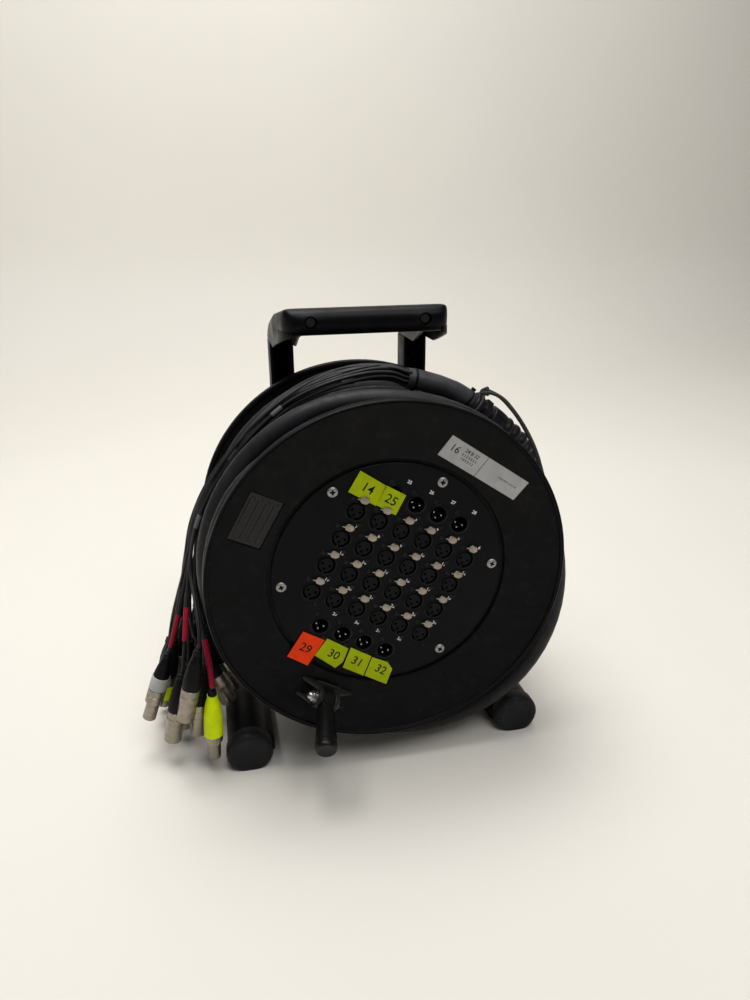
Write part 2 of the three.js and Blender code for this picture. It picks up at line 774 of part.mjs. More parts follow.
function glandBody() {
  const front = -glandHalf + capNutLength + gap;
  const room = glandHalf - front;
  const level = (share) => front + room * share;
  const [hexShare, neckShare, collarShare, spigotShare] = [0.12, 0.42, 0.55, 0.86];
  return aimed(turned([[0, front], [threadRadius, front], [threadRadius, level(hexShare)],
    [hexRadius, level(hexShare)], [hexRadius, level(neckShare)], [threadRadius, level(neckShare)],
    [threadRadius, level(collarShare)], [collarRadius, level(collarShare)], [collarRadius, level(spigotShare)],
    [bootRadius - gap, level(spigotShare)], [bootRadius - gap, glandHalf], [0, glandHalf]], glandFacets),
  chainMiddle, chainHeading);
}

function bendProtector() {
  const start = cableEnd.clone().addScaledVector(cableHeading, gap);
  const end = onChain(-glandHalf - gap);
  const pull = start.distanceTo(end) / 3;
  const curve = new THREE.CubicBezierCurve3(start, start.clone().addScaledVector(cableHeading, pull),
    end.clone().addScaledVector(chainHeading, -pull), end);
  const count = 2 * protectorRibs + 1;
  const rings = Array.from({ length: count }, (_, i) => {
    const share = i / (count - 1);
    const heading = i === 0 ? cableHeading : i === count - 1 ? chainHeading : curve.getTangentAt(share);
    return ring(curve.getPointAt(share), heading, i % 2 ? protectorPeak : protectorValley, 8);
  });
  return skinned(rings);
}

const mouth = polar(mouthAngle, mouthLift, chainRun);
const mouthHeading = polar(mouthAngle + 90, 1, 0);

function breakoutBoot() {
  const start = onChain(glandHalf + gap);
  const pull = start.distanceTo(mouth) / 3;
  const curve = new THREE.CubicBezierCurve3(start, start.clone().addScaledVector(chainHeading, pull),
    mouth.clone().addScaledVector(mouthHeading, -pull), mouth);
  const count = 7;
  return skinned(Array.from({ length: count }, (_, i) => {
    const share = i / (count - 1);
    const heading = i === 0 ? chainHeading : i === count - 1 ? mouthHeading : curve.getTangentAt(share);
    return ring(curve.getPointAt(share), heading, THREE.MathUtils.lerp(bootRadius, mouthRadius, share), 12);
  }));
}

// Tails: out of the boot, over the winding to the left, and down. The middle of the bundle is a list
// of [angle, radius, y] chosen by hand, and each tail keeps its own slot, lane and hanging place.
const tailRun = [
  [84, 196.5, 72], [90, 197.5, 73], [98, 196.5, 75], [108, 194.5, 77], [118, 192, 77], [128, 190, 71],
  [138, 189, 68], [148, 189.5, 72], [158, 191.5, 80], [168, 195, 88], [176, 198, 92],
];
// Each plug's tip, [x, y, z] about the drum's axis, its lean outward in degrees, its kind, and if it
// is a part here or hangs behind those and is left out; first for the layer of tails on the winding,
// and then for the one over it
const plugTips = [
  [
    [-195, 14, -207, 3, 'female', 'shown'], [-211, 36, -189, 9, 'male', 'shown'],
    [-175, 58, -168, -19, 'male', 'shown'], [-163, 79, -162, -22, 'male', 'shown'],
    [-199, 95, -208, 3, 'female', 'shown'], [-200, 117, -184, 4, 'male', 'behind'],
    [-204, 139, -196, 4, 'female', 'behind'],
  ],
  [
    [-221, 12, -152, 14, 'male', 'shown'], [-239, 36, -194, 12, 'male', 'shown'],
    [-264, 58, -177, 20, 'female', 'shown'], [-228, 73, -207, 8, 'female', 'behind'],
    [-251, 88, -181, 15, 'male', 'shown'], [-227, 107, -200, 8, 'female', 'behind'],
    [-232, 129, -180, 9, 'male', 'behind'],
  ],
];
const mouthRows = [3, 4, 4, 3];

// The tails' places in the boot's mouth, [along the drum, outward], by lane and layer
function mouthSlots() {
  const rows = mouthRows.map((count, row) => Array.from({ length: count }, (_, i) =>
    [(i - (count - 1) / 2) * slotPitch, (row - (mouthRows.length - 1) / 2) * slotRow]));
  return [rows.slice(0, 2), rows.slice(2)].map((pair) => pair.flat().sort((a, b) => a[0] - b[0]));
}

function tails() {
  const slots = mouthSlots();
  return plugTips.flatMap((plugs, layer) => plugs.map(([x, y, z, lean, kind, hangs], lane) => {
    const slot = slots[layer][lane];
    const laid = [(lane - (plugs.length - 1) / 2) * lanePitch, (layer - 1 / 2) * layerPitch];
    const up = new THREE.Vector3(Math.sin(degrees(lean)), 0, Math.cos(degrees(lean)));
    const tip = new THREE.Vector3(x, y, z);
    const top = tip.clone().addScaledVector(up, plugLength + gap);
    const start = polar(mouthAngle, mouthLift + slot[1], chainRun + slot[0]);
    start.addScaledVector(mouthHeading, gap + rootLength / 2);
    const lead = start.clone().addScaledVector(mouthHeading, rootLength + tailRadius);
    const over = tailRun.map(([angle, radius, run]) => {
      const share = smooth(angle, mouthAngle, tailRun[3][0]);
      const bunched = smooth(angle, 98, 126) * (1 - smooth(angle, 150, 176));
      return polar(angle, radius + THREE.MathUtils.lerp(slot[1], laid[1], share) + (lane % 2) * laneStep * bunched,
        run + THREE.MathUtils.lerp(slot[0], laid[0] * (1 - bunchShare * bunched), share));
    });
    const last = over[over.length - 1];
    const leave = last.clone().sub(over[over.length - 2]).normalize();
    const pull = last.distanceTo(top) / 3;
    const drop = new THREE.CubicBezierCurve3(last, last.clone().addScaledVector(leave, pull),
      top.clone().addScaledVector(up, pull), top);
    const down = [1, 2, 3].map((i) => drop.getPoint(i / 4));
    const straight = top.clone().addScaledVector(up, 4 * tailRadius);
    return { points: [start, lead, ...over, ...down, straight, top], tip, up, kind, hangs };
  }));
}

const tailList = tails();
const shownPlugs = tailList.filter((tail) => tail.hangs === 'shown');

function tailCords() {
  const root = aimed(rod(mouthRadius - gap, gap, gap + rootLength, 10), mouth, mouthHeading);
  const cords = tailList.map((tail) => cord(tail.points, tailRadius, tailSides, tailSteps));
  return toGeometry(together([root, ...cords]));
}

function tailPlug({ tip, up, kind }) {
  const nose = kind === 'male' ? maleNose : femaleNose;
  const length = noseLength + bodyLength;
  return aimed(turned([[0, 0], [nose, 0], [nose, noseLength], [bodyRadius, noseLength], [bodyRadius, length],
    [bootBase, length], [bootMiddle, (length + plugLength) / 2], [bootTop, plugLength], [0, plugLength]], 8),
  tip, up);
}

// A thin tie cord from the gland's collar down over the cable and back, as [angle, radius, y]
const tieRun = [
  [52, 214.5, 57], [47.5, 213, 50.5], [43, 210, 44.5], [38.5, 206.5, 40], [34, 203, 35.5], [30, 199.5, 31],
  [26.5, 196.5, 27.5], [23.5, 194.8, 26.5], [22.8, 195.5, 31], [25.5, 198.5, 36], [30, 203, 41],
  [35, 207, 46], [40, 210.5, 51], [45, 213.5, 56], [50, 215.5, 62],
];

// Where an end of the tie cord stands off the collar's side, by its turn round the collar
function onCollar(turn, reach) {
  const outward = polar(chainAngle, 1, 0).multiplyScalar(reach * Math.cos(degrees(turn)));
  return onChain(tiePlace).add(outward).add(new THREE.Vector3(0, reach * Math.sin(degrees(turn)), 0));
}

function tieCord() {
  const flat = collarRadius * Math.cos(Math.PI / glandFacets) + gap;
  const far = flat + 3 * cordRadius;
  const points = [
    onCollar(tieTurns[0], flat),
    onCollar(tieTurns[0], far),
    ...tieRun.map(([angle, radius, y]) => polar(angle, radius, y)),
    onCollar(tieTurns[1], far),
    onCollar(tieTurns[1], flat),
  ];
  return cord(points, cordRadius, tailSides, cordSteps);
}

// The turning drum, at its own upright, with the crank at the bottom
add(turning, 'front_flange', frontFlange(), 'flange');
add(turning, 'rear_flange', rearFlange(), 'flange');
add(turning, 'drum_barrel', barrel(), 'moulding');
add(turning, 'cable_inner_layers', innerLayers(), 'cable');
add(turning, 'hub_bush', hubBush(), 'brass');
add(turning, 'socket_panel', socketPanel(), 'panel');
latchPlaces.forEach((place, i) => {
  const tab = prism(latchOutline(place, 0), -latchProud, latchDepth - latchProud);
  add(turning, `latch_tab_${String(i + 1).padStart(2, '0')}`, tab, 'latch');
});
add(turning, 'crank_bracket', crankBracket(), 'moulding');
for (const [name, shape] of [['crank_bolt', crankBolt], ['crank_nut', crankNut]]) {
  add(turning, name, shape(), 'steel').position.copy(crankPivot);
}
const crank = add(turning, 'crank_handle', crankHandle(), 'moulding');
crank.position.copy(crankPivot);
crank.rotation.x = degrees(crankLean);
turning.rotation.y = degrees(drumTilt);

// The frame that stands still
add(fixed, 'rear_frame', rearFrame(), 'moulding');
add(fixed, 'carry_handle', carryHandle(), 'moulding');
add(fixed, 'axle_spindle', axleSpindle(), 'steel');
add(fixed, 'axle_nut', axleNut(), 'steel');
for (const [side, word] of [[-1, 'left'], [1, 'right']]) {
  add(fixed, `foot_bar_${word}`, footBar(side), 'moulding');
  add(fixed, `foot_cap_front_${word}`, footCap(side, false), 'rubber');
  add(fixed, `foot_cap_rear_${word}`, footCap(side, true), 'rubber');
}

const body = new THREE.Group();
body.add(fixed, turning);
body.updateMatrixWorld(true);
const room = new THREE.Box3().setFromObject(body, true);

// The cable's outer turns and the tails
const loose = new THREE.Group();
add(loose, 'cable_outer_turns', cableTurns(), 'cable');
add(loose, 'bend_protector', bendProtector(), 'rubber');
add(loose, 'gland_cap_nut', glandCapNut(), 'rubber');
add(loose, 'gland_body', glandBody(), 'rubber');
add(loose, 'breakout_boot', breakoutBoot(), 'rubber');
add(loose, 'tie_cord', tieCord(), 'cable');
add(loose, 'tail_cords', tailCords(), 'cable');
shownPlugs.forEach((tail, i) => {
  add(loose, `tail_plug_${i + 1}`, tailPlug(tail), 'nickel');
});
console.log(`least gap between the cable's turns: ${leastGap().toFixed(2)} mm`);

// Stood on the floor, with the origin under the middle of the drum and frame
const snake = new THREE.Group();
snake.add(body, loose);
snake.position.set(-(room.min.x + room.max.x) / 2, -(room.min.y + room.max.y) / 2, -floor);

export default snake;
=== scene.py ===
"""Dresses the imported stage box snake: a standing cable drum with a panel of audio sockets, its
wound multicore cable, and a fan of thin tails with plugs. Sizes in the functions are in
millimetres about the drum's axis, at the panel's front face, and every mesh is in metres."""

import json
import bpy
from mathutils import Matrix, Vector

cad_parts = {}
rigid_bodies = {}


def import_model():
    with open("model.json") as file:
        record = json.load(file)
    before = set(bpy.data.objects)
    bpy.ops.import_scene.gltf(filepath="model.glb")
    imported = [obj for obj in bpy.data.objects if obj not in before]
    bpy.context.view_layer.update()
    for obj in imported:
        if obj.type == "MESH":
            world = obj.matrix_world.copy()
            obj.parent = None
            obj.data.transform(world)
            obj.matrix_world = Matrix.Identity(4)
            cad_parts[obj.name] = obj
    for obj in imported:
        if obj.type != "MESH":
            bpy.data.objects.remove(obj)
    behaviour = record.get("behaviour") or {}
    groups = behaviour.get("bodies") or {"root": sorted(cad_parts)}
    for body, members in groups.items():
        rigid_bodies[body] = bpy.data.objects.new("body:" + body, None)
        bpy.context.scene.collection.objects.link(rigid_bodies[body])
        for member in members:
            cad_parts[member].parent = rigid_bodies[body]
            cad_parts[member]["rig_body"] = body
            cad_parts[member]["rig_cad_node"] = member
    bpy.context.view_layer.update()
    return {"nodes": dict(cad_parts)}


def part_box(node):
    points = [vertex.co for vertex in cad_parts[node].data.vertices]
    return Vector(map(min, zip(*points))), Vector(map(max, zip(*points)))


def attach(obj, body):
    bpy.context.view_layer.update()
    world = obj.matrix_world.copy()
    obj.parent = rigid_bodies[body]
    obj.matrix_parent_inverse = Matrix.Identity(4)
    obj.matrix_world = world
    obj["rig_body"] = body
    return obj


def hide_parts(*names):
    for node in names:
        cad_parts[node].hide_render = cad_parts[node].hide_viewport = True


bl_info = {
    "name": "Stage box snake",
    "version": (1, 0, 0),
    "blender": (4, 5, 0),
    "location": "View3D > Sidebar > Snake",
    "description": "Models the drum, sockets, cable, tails and plugs round the packed frame",
    "category": "Add Mesh",
}

from math import atan, cos, hypot, pi, radians, sin, tau

import bpy
from bpy.props import FloatProperty, FloatVectorProperty, IntProperty, PointerProperty
from bpy.types import Operator, Panel, PropertyGroup
from mathutils import Matrix, Quaternion, Vector

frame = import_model()

MM = 0.001
HUB = Vector((0.0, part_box("foot_cap_front_left")[0].y - 0.004, 0.2305))
FIXED = Matrix.Translation(HUB)
DRUM = FIXED @ Matrix.Rotation(radians(29.5), 4, "Y")
PIVOT = DRUM @ Matrix.Translation((0.0, -0.018, -0.150))
CRANK = PIVOT @ Matrix.Rotation(radians(16.5), 4, "X")

# Drum, the same as the frame's
RECESS, RIM_INSIDE, FLANGE = 127.0, 184.5, 189.0
DISH, DRUM_MIDDLE = 11.0, 91.0
CONE = DISH / (RIM_INSIDE - RECESS)
PITCH, ROW = 26.5, 32.1
FEMALES = [((c - 2.5) * PITCH, (1.5 - r) * ROW) for r in range(4) for c in range(6)]
MALES = [((c - 1.5) * PITCH, z) for z in (2.5 * ROW, -2.5 * ROW) for c in range(4)]
LATCH = (2.0, 14.3)

# Winding, gland and tails, the same as the frame's
TURN_UP, TURN_TOP = 95.0, 150.0
CABLE_PITCH, UNDER_RUN, FRONT_RUN = 21.7, 12.0, 7.3
LOW_LAYER, HIGH_LAYER, TOP_LAYER = 157.8, 171, 179.5
SLACK, SLACK_AT, SLACK_HALF = 34.5, 312, 75
WIND_START = TURN_UP - 360 * (163.5 - UNDER_RUN) / CABLE_PITCH
WIND_END = 720 + 50.5 - 33
CHAIN_ANGLE, CHAIN_RADIUS, CHAIN_RUN, GLAND_HALF = 50.5, 192.0, 70.0, 24.4
MOUTH_ANGLE, MOUTH_LIFT = 78.5, 193.5
TAIL_RUN = [
    (84, 196.5, 72), (90, 197.5, 73), (98, 196.5, 75), (108, 194.5, 77), (118, 192, 77), (128, 190, 71),
    (138, 189, 68), (148, 189.5, 72), (158, 191.5, 80), (168, 195, 88), (176, 198, 92),
]
PLUGS = [
    [(-195, 14, -207, 3, "female"), (-211, 36, -189, 9, "male"), (-175, 58, -168, -19, "male"),
     (-163, 79, -162, -22, "male"), (-199, 95, -208, 3, "female"), (-200, 117, -184, 4, "male"),
     (-204, 139, -196, 4, "female")],
    [(-221, 12, -152, 14, "male"), (-239, 36, -194, 12, "male"), (-264, 58, -177, 20, "female"),
     (-228, 73, -207, 8, "female"), (-251, 88, -181, 15, "male"), (-227, 107, -200, 8, "female"),
     (-232, 129, -180, 9, "male")],
]
SHOWN_PLUGS = [0, 1, 2, 3, 4, 7, 8, 9, 11]
# Tails on top of those, which the frame leaves out: the plug's place, and how the tail weaves over the
# bundle, as its height, its swing along the drum, and where a swing starts
MORE_PLUGS = [
    (-253, 110, -192, 13, "male", 4.2, 7, 86), (-255, 133, -206, 11, "female", 5.6, -7, 100),
    (-238, 150, -206, 8, "female", 7.4, 8, 92), (-214, 158, -204, 5, "male", 4.8, 6, 78),
    (-236, 172, -200, 8, "male", 6.2, 7, 112), (-213, 180, -206, 4, "male", 7.8, -8, 104),
    (-236, 195, -204, 7, "female", 5.0, -7, 84), (-213, 202, -200, 4, "female", 6.8, -6, 72),
]
TIE_RUN = [
    (52, 214.5, 57), (47.5, 213, 50.5), (43, 210, 44.5), (38.5, 206.5, 40), (34, 203, 35.5),
    (30, 199.5, 31), (26.5, 196.5, 27.5), (23.5, 194.8, 26.5), (22.8, 195.5, 31), (25.5, 198.5, 36),
    (30, 203, 41), (35, 207, 46), (40, 210.5, 51), (45, 213.5, 56), (50, 215.5, 62),
]

# Camera, fitted to the photograph
CAMERA = FIXED @ Matrix((
    (0.9771327, 0.08301359, -0.19575604, -0.16055),
    (-0.21252497, 0.35230966, -0.91143351, -0.67948),
    (-0.00669462, 0.93219453, 0.36189575, 0.35477),
    (0, 0, 0, 1),
))


class SnakeSizes(PropertyGroup):
    """Sizes that a user may change."""

    cable: FloatProperty(name="Cable", description="Diameter of the multicore cable", default=0.021,
                         unit="LENGTH")
    tail: FloatProperty(name="Tail", description="Diameter of a tail", default=0.0038, unit="LENGTH")
    tie: FloatProperty(name="Tie cord", description="Diameter of the tie cord", default=0.004, unit="LENGTH")
    tape: FloatProperty(name="Tape", description="Thickness of the tapes and labels", default=0.0002,
                        unit="LENGTH")
    figure: FloatProperty(name="Figures", description="Height of the sockets' numbers", default=0.0050,
                          unit="LENGTH")
    fillet: FloatProperty(name="Fillet", description="Rounding of a moulded edge", default=0.0009,
                          unit="LENGTH")
    steps: IntProperty(name="Steps", description="Facets round a large turned piece", default=144, min=24)
    loop: IntProperty(name="Loop points", description="Points in each turn of the cable", default=72, min=24)


def tint(name, value, text):
    return FloatVectorProperty(name=name, description=text, subtype="COLOR", size=3, min=0, max=1,
                               default=value)


class SnakeColours(PropertyGroup):
    """Colours that a user may change."""

    plastic: tint("Plastic", (0.0029, 0.0029, 0.0037), "Flanges, handle and frame")
    handle: tint("Handle", (0.0012, 0.0013, 0.0022), "Carry handle")
    crank: tint("Crank", (0.0105, 0.0105, 0.0095), "Crank and its bracket")
    panel: tint("Panel", (0.0028, 0.0029, 0.0040), "Coat of the socket panel")
    socket: tint("Socket", (0.0022, 0.0022, 0.0025), "Moulded socket housings")
    latch: tint("Latch", (0.37, 0.32, 0.26), "Latch tabs")
    steel: tint("Steel", (0.56, 0.56, 0.55), "Screws, bolt and pins")
    nickel: tint("Nickel", (0.33, 0.295, 0.24), "Shells of the plugs")
    brass: tint("Brass", (0.55, 0.40, 0.16), "Bush and gland thread")
    jacket: tint("Jacket", (0.0110, 0.0110, 0.0125), "Cable and tails")
    rubber: tint("Rubber", (0.0030, 0.0030, 0.0036), "Boots and foot caps")
    cord: tint("Cord", (0.016, 0.017, 0.014), "Tie cord")
    yellow: tint("Yellow", (0.60, 0.74, 0.0), "Marking tape")
    orange: tint("Orange", (0.98, 0.055, 0.004), "Marking tape")
    white: tint("White", (0.62, 0.62, 0.62), "Label and numbers")
    grey: tint("Grey", (0.15, 0.15, 0.16), "Marker sleeves")
    red: tint("Red", (0.32, 0.010, 0.032), "Red sleeves")
    ink: tint("Ink", (0.010, 0.012, 0.010), "Marker pen")
    floor: tint("Floor", (0.745, 0.71, 0.645), "Floor and backdrop")


# ---------------------------------------------------------------- places

def smooth(value, low, high):
    share = min(max((value - low) / (high - low), 0), 1)
    return share * share * (3 - 2 * share)


def blend(a, b, share):
    return a + (b - a) * share


def polar(angle, radius, y):
    """A point at an angle round the axis, seen from the front and counted from the right."""
    return Vector((radius * cos(radians(angle)), y, radius * sin(radians(angle))))


def world(points):
    """Points about the drum's axis, in millimetres, as places in the row frame, in metres."""
    return [HUB + Vector(p) * MM for p in points]


def at(*place):
    """A matrix that moves a shape by millimetres."""
    return Matrix.Translation(Vector(place) * MM)


def aim(place, heading, roll=0.0):
    """A matrix that stands a shape drawn along +Y at a place in millimetres, along a heading."""
    turn = Vector((0, 1, 0)).rotation_difference(heading).to_matrix().to_4x4()
    return Matrix.Translation(HUB + Vector(place) * MM) @ turn @ Matrix.Rotation(roll, 4, "Y")


def bezier(a, b, c, d, t):
    return a * (1 - t) ** 3 + b * 3 * t * (1 - t) ** 2 + c * 3 * t * t * (1 - t) + d * t ** 3


def flowing(points, count):
    """A smooth line through points, with count steps from each to the next."""
    ends = [points[0] * 2 - points[1], *points, points[-1] * 2 - points[-2]]
    line = []
    for p0, p1, p2, p3 in zip(ends, ends[1:], ends[2:], ends[3:]):
        d0, d1, d2 = [(b - a).length ** 0.5 or 1.0 for a, b in ((p0, p1), (p1, p2), (p2, p3))]
        m1 = ((p1 - p0) / d0 - (p2 - p0) / (d0 + d1) + (p2 - p1) / d1) * d1
        m2 = ((p2 - p1) / d1 - (p3 - p1) / (d1 + d2) + (p3 - p2) / d2) * d1
        for k in range(count):
            t = k / count
            line.append(p1 + m1 * t + (p2 * 3 - p1 * 3 - m1 * 2 - m2) * t * t
                        + (p1 * 2 - p2 * 2 + m1 + m2) * t ** 3)
    return line + [points[-1]]


def length(points):
    return sum((b - a).length for a, b in zip(points, points[1:]))


def winding_point(angle):
    under = UNDER_RUN + CABLE_PITCH * (TURN_UP - angle) / 360
    if angle < TURN_UP:
        return polar(angle, blend(LOW_LAYER, HIGH_LAYER, smooth(under, 84, 108)), under)
    up = smooth(angle, TURN_UP, TURN_TOP)
    off = abs(angle - SLACK_AT) / SLACK_HALF
    loose = SLACK * cos(off * pi / 2) ** 2 if off < 1 else 0
    raised = 5.5 * (smooth(angle, 440, 480) - smooth(angle, 540, 600))
    radius = blend(LOW_LAYER, TOP_LAYER, up) + loose + raised + 10.5 * smooth(angle, 640, WIND_END)
    shift = (0.04 * smooth(angle, 200, SLACK_AT) + 0.42 * smooth(angle, 372, 520)
             + 0.54 * smooth(angle, 480, 780))
    return polar(angle, radius, blend(under, FRONT_RUN, up) + shift * (CHAIN_RUN - FRONT_RUN))


def winding_line(each):
    """The cable's line, its end, and its heading there."""
    steps = round((WIND_END - WIND_START) / 360 * each)
    coarse = round((WIND_END - WIND_START) / 360 * 24)
    line = [winding_point(blend(WIND_START, WIND_END, i / steps)) for i in range(steps + 1)]
    near = winding_point(blend(WIND_START, WIND_END, 1 - 1 / coarse))
    far = winding_point(blend(WIND_START, WIND_END, 1 / coarse))
    heading = (line[-1] - near).normalized()
    first = line[0] + (line[0] - far).normalized() * 21
    return [first, *line, line[-1] + heading * 21], heading


def on_chain(distance):
    return polar(CHAIN_ANGLE, CHAIN_RADIUS, CHAIN_RUN) + polar(CHAIN_ANGLE + 90, distance, 0)


CHAIN_HEADING = polar(CHAIN_ANGLE + 90, 1, 0)
MOUTH = polar(MOUTH_ANGLE, MOUTH_LIFT, CHAIN_RUN)
MOUTH_HEADING = polar(MOUTH_ANGLE + 90, 1, 0)


def arc_between(start, along, end, leaving, steps):
    """A line that leaves start along one heading and reaches end along another."""
    pull = (end - start).length / 3
    return [bezier(start, start + along * pull, end - leaving * pull, end, i / steps) for i in range(steps + 1)]


def tail_lines():
    """Each tail's line from the boot to its plug, and the plug's tip, direction and kind."""
    rows = [[((i - (n - 1) / 2) * 4.6, (row - 1.5) * 4.3) for i in range(n)] for row,
            n in enumerate((3, 4, 4, 3))]
    tails = []
    for layer, plugs in enumerate(PLUGS):
        slots = sorted(rows[2 * layer] + rows[2 * layer + 1], key=lambda s: s[0])
        for lane, (x, y, z, lean, kind) in enumerate(plugs):
            across, out = slots[lane]
            laid = ((lane - 3) * 6.5, (layer - 0.5) * 5.4)
            up = Vector((sin(radians(lean)), 0, cos(radians(lean))))
            tip = Vector((x, y, z))
            top = tip + up * 86.3
            start = polar(MOUTH_ANGLE, MOUTH_LIFT + out, CHAIN_RUN + across) + MOUTH_HEADING * 1.8
            points = [start, start + MOUTH_HEADING * 4.9]
            for angle, radius, run in TAIL_RUN:
                share = smooth(angle, MOUTH_ANGLE, 108)
                bunch = smooth(angle, 98, 126) * (1 - smooth(angle, 150, 176))
                points.append(polar(angle, radius + blend(out, laid[1], share) + lane % 2 * 2.6 * bunch,
                                    run + blend(across, laid[0] * (1 - 0.5 * bunch), share)))
            tails.append(hung(points, tip, up, top, kind))
    for i, (x, y, z, lean, kind, height, swing, phase) in enumerate(MORE_PLUGS):
        up = Vector((sin(radians(lean)), 0, cos(radians(lean))))
        tip = Vector((x, y, z))
        out, across = 7.6 - 2.1 * (i % 2), (i - 3.5) * 2.2
        start = polar(MOUTH_ANGLE, MOUTH_LIFT + out, CHAIN_RUN + across) + MOUTH_HEADING * 1.2
        points = [start, start + MOUTH_HEADING * 4.9]
        for angle, radius, run in TAIL_RUN:
            share = smooth(angle, MOUTH_ANGLE, 100)
            settled = 1 - 0.35 * smooth(angle, 110, 140)
            wave = swing * sin(radians((angle - phase) * 5.2)) * settled - 3 * smooth(angle, 90, 120)
            points.append(polar(angle, radius + blend(out, height, share), run + blend(across, wave, share)))
        tails.append(hung(points, tip, up, tip + up * 86.3, kind))
    return tails


def hung(points, tip, up, top, kind):
    """A tail that falls from the end of its points into its plug."""
    last = points[-1]
    leave = (last - points[-2]).normalized()
    pull = (last - top).length / 3
    drop = [bezier(last, last + leave * pull, top + up * pull, top, i / 4) for i in (1, 2, 3)]
    return {"line": flowing([*points, *drop, top + up * 7.6, top], 8), "tip": tip, "up": up, "kind": kind,
            "top": top}


# ---------------------------------------------------------------- modelling

def clear():
    if bpy.context.object and bpy.context.object.mode != "OBJECT":
        bpy.ops.object.mode_set(mode="OBJECT")
    bpy.ops.object.select_all(action="DESELECT")


def choose(*pieces):
    clear()
    for piece in pieces:
        piece.select_set(True)
    bpy.context.view_layer.objects.active = pieces[0]


def drawn(name, points, closed=False):
    """Draws a line through points in millimetres, and stays in edit mode with all of it selected."""
    points = [Vector(p) * MM for p in points]
    clear()
    bpy.ops.mesh.primitive_circle_add(vertices=3, radius=MM, location=points[0])
    piece = bpy.context.object
    piece.name = piece.data.name = name
    bpy.ops.object.transform_apply(location=True, rotation=True, scale=True)
    bpy.ops.object.mode_set(mode="EDIT")
    bpy.ops.mesh.select_all(action="SELECT")
    bpy.ops.mesh.merge(type="CENTER")
    for a, b in zip(points, points[1:] + points[:1] * closed):
        bpy.ops.mesh.extrude_vertices_move(TRANSFORM_OT_translate={"value": b - a})
    bpy.ops.mesh.select_all(action="SELECT")
    bpy.ops.mesh.remove_doubles(threshold=1e-7)
    return piece


def mended(piece, near=2e-6):
    """Merges what lies together, turns the faces outward, and leaves edit mode."""
    choose(piece)
    bpy.ops.object.mode_set(mode="EDIT")
    bpy.ops.mesh.select_all(action="SELECT")
    bpy.ops.mesh.remove_doubles(threshold=near)
    bpy.ops.mesh.normals_make_consistent(inside=False)
    clear()
    return piece


def turned(name, outline, steps=96, closed=True):
    """A piece spun about +Y from its outline of [radius, y]."""
    piece = drawn(name, [(r, y, 0) for r, y in outline], closed)
    bpy.ops.mesh.spin(steps=steps, angle=tau, center=(0, 0, 0), axis=(0, 1, 0))
    return mended(piece)


def plate(name, outline, depth):
    """A piece with an outline of [x, y, z], drawn out by depth, all in millimetres."""
    piece = drawn(name, outline, closed=True)
    bpy.ops.mesh.edge_face_add()
    bpy.ops.mesh.extrude_region_move(TRANSFORM_OT_translate={"value": Vector(depth) * MM})
    return mended(piece)


def slab(name, x, y, z):
    """A block between two x, two y and two z."""
    return plate(name, [(x[0], y[0], z[0]), (x[1], y[0], z[0]), (x[1], y[0], z[1]), (x[0], y[0], z[1])],
                 (0, y[1] - y[0], 0))


def dress(piece, kind, **values):
    """Adds a modifier and applies it."""
    choose(piece)
    modifier = piece.modifiers.new(kind.title(), kind)
    for key, value in values.items():
        setattr(modifier, key, value)
    bpy.ops.object.modifier_apply(modifier=modifier.name)
    return piece


def rounded(piece, width, segments=2, angle=32):
    return dress(piece, "BEVEL", width=width * MM, segments=segments, limit_method="ANGLE",
                 angle_limit=radians(angle), harden_normals=False)


def carved(piece, *cutters):
    for cutter in cutters:
        dress(piece, "BOOLEAN", operation="DIFFERENCE", solver="EXACT", object=cutter)
        bpy.data.objects.remove(cutter)
    return piece


def dropped(*pieces):
    """Deletes pieces that were only a pattern for others."""
    for piece in pieces:
        bpy.data.objects.remove(piece)


def joined(name, *pieces):
    choose(*pieces)
    if len(pieces) > 1:
        bpy.ops.object.join()
    pieces[0].name = pieces[0].data.name = name
    return pieces[0]


def moved(piece, matrix):
    """Puts a piece in its place, with its place in its mesh."""
    choose(piece)
    piece.matrix_world = matrix @ piece.matrix_world
    bpy.ops.object.transform_apply(location=True, rotation=True, scale=True)
    return piece


def shifted(piece, *step):
    return moved(piece, at(*step))


def copied(piece, name, matrix=None):
    """A copy with its own mesh, moved by a matrix."""
    choose(piece)
    bpy.ops.object.duplicate()
    new = bpy.context.object
    new.name = new.data.name = name
    return moved(new, matrix) if matrix else new


def spread(name, pattern, matrices):
    """Copies of a pattern as one piece, in place of the pattern."""
    copies = [copied(pattern, f"{name}_{i}", matrix) for i, matrix in enumerate(matrices)]
    dropped(pattern)
    return joined(name, *copies)


def tube(name, points, diameter, shares=None, sides=12):
    """A round cord along points in metres, as a curve, thicker or thinner by shares."""
    curve = bpy.data.curves.new(name, "CURVE")
    curve.dimensions = "3D"
    curve.bevel_depth = diameter / 2
    curve.bevel_resolution = (sides - 4) // 2
    curve.use_fill_caps = True
    spline = curve.splines.new("POLY")
    spline.points.add(len(points) - 1)
    for i, point in enumerate(points):
        spline.points[i].co = (*point, 1)
        spline.points[i].radius = shares[i] if shares else 1
    piece = bpy.data.objects.new(name, curve)
    bpy.context.scene.collection.objects.link(piece)
    return piece


def hardened(piece):
    """A curve or text made a mesh."""
    choose(piece)
    bpy.ops.object.convert(target="MESH")
    return bpy.context.object


